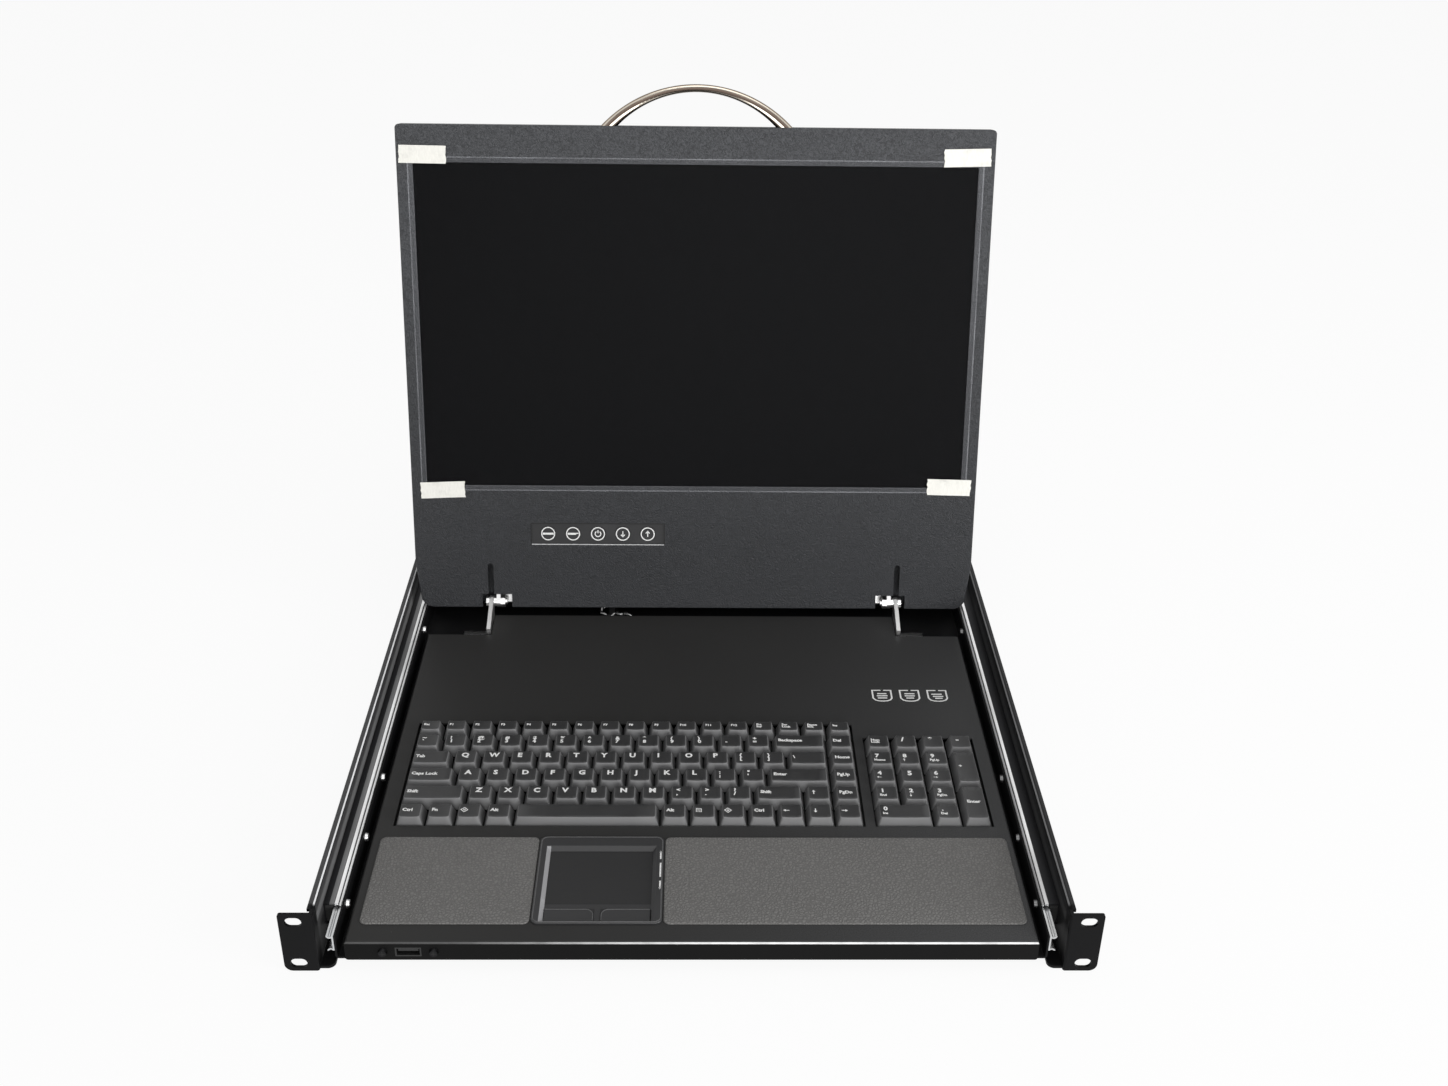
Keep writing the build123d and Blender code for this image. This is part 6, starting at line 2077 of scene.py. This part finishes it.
@dataclass
class Lid:
    """The lid's shell, screen, film, tapes, buttons, handle and hinges."""

    finishes: Finishes
    plane: LidPlane
    ring_radius: float = 5.0 * MM
    ring_line: float = 0.8 * MM
    sign_line: float = 0.75 * MM
    tape_lift: float = 0.2 * MM
    tape_sheet: float = 0.12 * MM
    tape_steps: int = 16
    recess_lap: float = 2.5 * MM
    recess_line: float = 0.7 * MM
    recess_lift: float = 0.03 * MM
    print_lift: float = 0.04 * MM
    tape_rows: int = 6
    tape_seed: int = 7
    tape_wave: float = 0.09 * MM
    tape_smooth: float = 40.0
    tape_tear: Point = (-0.018, 0.012)
    power_button: int = 3
    power_arc: tuple[float, float, float] = (2.2 * MM, 125.0, 415.0)
    signs: Sequence[Sequence[Sequence[Point]]] = (
        (((-4.2, 0.35), (4.2, 0.35)), ((-4.2, -0.45), (4.2, -0.45))),
        (((-4.2, 0.35), (4.2, 0.35)), ((-4.2, -0.45), (2.4, -0.45))),
        (((0.0, 0.6), (0.0, 2.9)),),
        (((0.0, 2.2), (0.0, -2.2)), ((-1.5, -0.6), (0.0, -2.2), (1.5, -0.6))),
        (((0.0, -2.2), (0.0, 2.2)), ((-1.5, 0.6), (0.0, 2.2), (1.5, 0.6))),
    )

    def build(self) -> None:
        """Dress the nodes and build the prints and tapes."""
        dress(self.finishes.lid, "lid_back", "lid_bezel")
        dress(self.finishes.panel, "lcd_screen")
        dress(self.finishes.module, "lcd_module")
        dress(self.finishes.film, "screen_film")
        dress(self.finishes.button, "button_strip")
        dress(self.finishes.board, "button_board")
        dress(self.finishes.chrome, "lid_handle")
        dress(self.finishes.arm, "lid_hinge_brackets", "hinge_bolts", "hinge_nuts")
        dress(self.finishes.arm, *(side.of("hinge_arm") for side in Side))
        for number, sign in enumerate(self.signs, 1):
            dress(self.finishes.button, f"screen_button_{number}")
            self._button_print(number, sign)
        self._recess_light_and_shade()
        self._tapes()

    def _recess_light_and_shade(self) -> None:
        """Draw a painted highlight along the button recess's lower edge and a painted shadow round its other
        sides.
        """
        flats = [self.plane.flat(point.co) for point in frame["nodes"]["button_strip"].data.vertices]
        lap = self.recess_lap
        left, right = min(flat[0] for flat in flats) + lap, max(flat[0] for flat in flats) - lap
        low, high = min(flat[1] for flat in flats) + lap, max(flat[1] for flat in flats) - lap
        strokes = Strokes(self.plane.at(0.0, 0.0, self.recess_lift), up=self.plane.up)
        out = self.recess_line / 2
        strokes.line([(left, low - out), (right, low - out)], self.recess_line)
        strokes.show("button_recess_edge", self.finishes.edge, Body.LID.value, "lid_coat")
        shadow = Strokes(self.plane.at(0.0, 0.0, self.recess_lift), up=self.plane.up)
        ends = [(left - out, low), (left - out, high + out), (right + out, high + out), (right + out, low)]
        shadow.line(ends, self.recess_line)
        shadow.show("button_recess_shadow", self.finishes.dark, Body.LID.value, "lid_coat")

    def _button_print(self, number: int, sign: Sequence[Sequence[Point]]) -> None:
        """Print one screen button's ring and sign.

        Args:
            number: the button, from the left.
            sign: the lines inside its ring, in millimetres.
        """
        node = f"screen_button_{number}"
        low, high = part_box(node)
        x, height, _ = self.plane.flat((low + high) / 2)
        points = [vertex.co for vertex in frame["nodes"][node].data.vertices]
        proud = max(self.plane.flat(point)[2] for point in points) + self.print_lift
        strokes = Strokes(self.plane.at(x, height, proud), up=self.plane.up)
        strokes.ring(self.ring_radius, self.ring_line)
        for line in sign:
            strokes.line([(px * MM, py * MM) for px, py in line], self.sign_line)
        if number == self.power_button:
            radius, start, end = self.power_arc
            strokes.ring(radius, self.sign_line, start, end)
        strokes.show(f"{node}_print", self.finishes.ink, node, "button")

    def _tapes(self) -> None:
        """Build the tape tabs over the film's corners, each a little crumpled and torn at its ends."""
        builder = MeshBuilder()
        rng = random.Random(self.tape_seed)
        for tab in sorted(islands("film_tabs"), key=lambda tab: (tab.middle.z, tab.middle.x)):
            self._tape(builder, tab, rng)
        mesh = builder.mesh("tape_tabs", turn_out=True)
        show(mesh, self.finishes.tape, Body.LID.value, self.tape_smooth, ["film_tabs"])

    def _tape(self, builder: MeshBuilder, tab: Island, rng: random.Random) -> None:
        """Add one tape.

        Args:
            builder: where it goes.
            tab: the CAD tab that gives its place.
            rng: a seeded source for its tear.
        """
        flat = [Vector(self.plane.flat(point)[:2]) for point in tab.points]
        middle = sum(flat, Vector((0.0, 0.0))) / len(flat)
        right = max(flat, key=lambda p: p.x - p.y) - min(flat, key=lambda p: p.x + p.y)
        rise = max(flat, key=lambda p: p.y - p.x) - min(flat, key=lambda p: p.x + p.y)
        steps, rows = self.tape_steps, self.tape_rows
        tears = [[rng.uniform(*self.tape_tear) for _ in range(rows + 1)] for _ in range(2)]
        waves = [rng.uniform(0, math.tau) for _ in range(3)]
        top: list[Vector] = []
        for row in range(rows + 1):
            v = row / rows - 0.5
            for step in range(steps + 1):
                u = step / steps - 0.5
                u += tears[0][row] if step == 0 else tears[1][row] if step == steps else 0.0
                wave = math.sin(9 * u + waves[0]) * math.sin(5 * v + waves[1])
                wave += 0.5 * math.sin(23 * u + waves[2])
                spot = middle + right * u + rise * v
                proud = self.tape_lift + self.tape_sheet + self.tape_wave * (1.4 + wave) * (0.4 + abs(v))
                top.append(self.plane.at(spot.x, spot.y, proud))
        under = [point - self.plane.out * self.tape_sheet for point in top]
        count = len(top)
        faces: list[Sequence[int]] = []
        for quad in bands(rows + 1, steps + 1, steps):
            faces.append(quad)
            faces.append([count + index for index in quad[::-1]])
        rim = list(range(steps))
        rim += [row * (steps + 1) + steps for row in range(rows)]
        rim += [rows * (steps + 1) + step for step in range(steps, 0, -1)]
        rim += [row * (steps + 1) for row in range(rows, 0, -1)]
        for here, there in zip(rim, rim[1:] + rim[:1]):
            faces.append((here, count + here, count + there, there))
        builder.add(top + under, faces)


@dataclass
class RearHousing:
    """The housing at the back with its cover, sockets and boards."""

    finishes: Finishes
    instances: PickedInstances
    pin_pitch: float = 2.3 * MM
    pin_rows: Sequence[tuple[float, float]] = ((0.85, 0.0), (0.0, 0.3), (-0.85, 0.0))
    pin_columns: int = 5
    pin_radius: float = 0.55 * MM
    pin_sides: int = 10
    pin_lift: float = 0.03 * MM

    def build(self) -> None:
        """Dress the nodes and add painted shade where the socket's pin holes are."""
        dress(self.finishes.rack, "rear_housing", "rear_cover")
        dress(self.finishes.inlet, "power_inlet", "switch_frame", "power_rocker")
        dress(self.finishes.zinc, "video_socket")
        dress(self.finishes.board, "power_board", "control_board")
        self._pin_hole_shades()

    def _pin_hole_shades(self) -> None:
        """Add rows of dark discs on the video socket's face, painted shade for its pin holes."""
        low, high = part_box("video_socket")
        middle = (low + high) / 2
        places = []
        for row, shift in self.pin_rows:
            for column in range(self.pin_columns):
                x = middle.x + (column - self.pin_columns // 2 + shift) * self.pin_pitch
                place = Vector((x, high.y + self.pin_lift, middle.z + row * self.pin_pitch))
                places.append((place, Y_AXIS, 0))
        # Painted shade: flat dark discs stand in for the holes.
        strokes = Strokes(Vector())
        turns = [math.tau * side / self.pin_sides for side in range(self.pin_sides)]
        strokes.fill([on_circle((0.0, 0.0), self.pin_radius, turn) for turn in turns])
        hole, dark = strokes.builder.mesh("pin_hole"), self.finishes.dark
        show(self.instances.bake("video_pin_holes", places, [hole], dark), dark, Body.DRAWER.value)


@dataclass(frozen=True)
class Lamp:
    """One soft lamp: where it hangs, its side in metres and its power in watts."""

    name: str
    place: tuple[float, float, float]
    size: float
    power: float


@dataclass
class Studio:
    """Floor, soft light, white surround and the camera at the photograph's angle."""

    position: Vector = field(default_factory=lambda: Vector((-1.83, -694.18, 660.23)) * MM)
    pitch: float = 29.38
    yaw: float = 1.33
    roll: float = 0.96
    focal_share: float = 1575.21 / 1448
    sensor: float = 36.0
    nearest: float = 10.0 * MM
    floor_reach: float = 40.0
    ambient: float = 0.42
    floor_white: float = 0.92
    floor_grey: float = 0.82
    floor_gap: float = 0.2 * MM
    aim: Vector = field(default_factory=lambda: Vector((0.0, 0.2, 0.08)))
    lamps: Sequence[Lamp] = (
        Lamp("key_light", (1.9, -0.9, 0.75), 1.1, 30.0),
        Lamp("front_light", (0.3, -2.4, 0.35), 1.5, 42.0),
        Lamp("top_light", (0.2, -0.3, 2.3), 1.8, 14.0),
    )

    def build(self) -> None:
        """Build the whole set."""
        self._floor()
        self._surround()
        for lamp in self.lamps:
            self._light(lamp)
        self._camera()
        bpy.context.scene.view_settings.view_transform = "Standard"

    @staticmethod
    def _seen(tree: ShaderTree) -> Signal:
        """Tell what is looked at from what only lights.

        Args:
            tree: a material's or the world's tree.

        Returns:
            1 for a camera, glossy or transmission ray and 0 for others.
        """
        path = tree.node("ShaderNodeLightPath")
        rays = [Signal(tree, path.outputs[f"Is {kind} Ray"]) for kind in ("Camera", "Glossy", "Transmission")]
        return rays[0].most(rays[1]).most(rays[2])

    def _floor(self) -> None:
        """Lay the floor under the rails."""
        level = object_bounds()[0].z - self.floor_gap
        reach = self.floor_reach / 2
        builder = MeshBuilder()
        corners = [(-reach, -reach), (reach, -reach), (reach, reach), (-reach, reach)]
        builder.add([Vector((x, y, level)) for x, y in corners], [range(4)])
        mesh = builder.mesh("studio_floor")
        floor = bpy.data.objects.new("studio_floor", mesh)
        bpy.context.scene.collection.objects.link(floor)
        material = bpy.data.materials.new("studio_floor")
        tree = ShaderTree(material)
        grey = (self.floor_grey, self.floor_grey, self.floor_grey, 1.0)
        plain = tree.signal("ShaderNodeBsdfDiffuse", "BSDF", {}, {"Color": grey})
        white = tree.signal("ShaderNodeEmission", "Emission", {}, {"Color": WHITE, "Strength": 1.0})
        values = {"Fac": self._seen(tree) * self.floor_white, "Shader": plain, "Shader_001": white}
        mixed = tree.signal("ShaderNodeMixShader", "Shader", {}, values)
        tree.node("ShaderNodeOutputMaterial", {}, {"Surface": mixed})
        mesh.materials.append(material)
        floor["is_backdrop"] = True

    def _surround(self) -> None:
        """Light the scene evenly and show white behind it."""
        world = bpy.data.worlds.new("studio")
        bpy.context.scene.world = world
        tree = ShaderTree(world)
        soft, white = (
            tree.signal("ShaderNodeBackground", "Background", {}, {"Color": WHITE, "Strength": strength})
            for strength in (self.ambient, 1.0)
        )
        values = {"Fac": self._seen(tree), "Shader": soft, "Shader_001": white}
        mixed = tree.signal("ShaderNodeMixShader", "Shader", {}, values)
        tree.node("ShaderNodeOutputWorld", {}, {"Surface": mixed})

    def _light(self, lamp: Lamp) -> None:
        """Hang one lamp so that it looks at the drawer's middle.

        Args:
            lamp: the lamp.
        """
        data = bpy.data.lights.new(lamp.name, "AREA")
        data.size = lamp.size
        data.energy = lamp.power
        holder = bpy.data.objects.new(lamp.name, data)
        holder.location = lamp.place
        holder.rotation_mode = "QUATERNION"
        holder.rotation_quaternion = (self.aim - Vector(lamp.place)).to_track_quat("-Z", "Y")
        bpy.context.scene.collection.objects.link(holder)

    def _camera(self) -> None:
        """Set the camera where the photograph was taken."""
        pitch, yaw, roll = (math.radians(angle) for angle in (self.pitch, self.yaw, self.roll))
        ahead = Vector((math.sin(yaw) * math.cos(pitch), math.cos(yaw) * math.cos(pitch), -math.sin(pitch)))
        level = Vector((math.cos(yaw), -math.sin(yaw), 0.0))
        upright = level.cross(ahead)
        right = level * math.cos(roll) + upright * math.sin(roll)
        top = upright * math.cos(roll) - level * math.sin(roll)
        data = bpy.data.cameras.new("camera")
        data.sensor_width = self.sensor
        data.lens = self.focal_share * self.sensor
        data.clip_start = self.nearest
        camera = bpy.data.objects.new("camera", data)
        turn = Matrix((right, top, -ahead)).transposed().to_4x4()
        camera.matrix_world = Matrix.Translation(self.position) @ turn
        bpy.context.scene.collection.objects.link(camera)
        bpy.context.scene.camera = camera


def main() -> None:
    """Build every sub-assembly and the studio round it."""
    logging.basicConfig(level=logging.INFO, format="%(name)s: %(message)s")
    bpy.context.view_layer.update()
    plane = LidPlane()
    finishes = Finishes(plane)
    instances = PickedInstances("picked_instances")
    lettering = Lettering()
    Rack(finishes).build()
    Tray(finishes).build()
    Keyboard(finishes, lettering, instances).build()
    WristRest(finishes).build()
    Lid(finishes, plane).build()
    RearHousing(finishes, instances).build()
    Fasteners(finishes, instances).build()
    lettering.close()
    Studio().build()


if __name__ == "__main__":
    main()
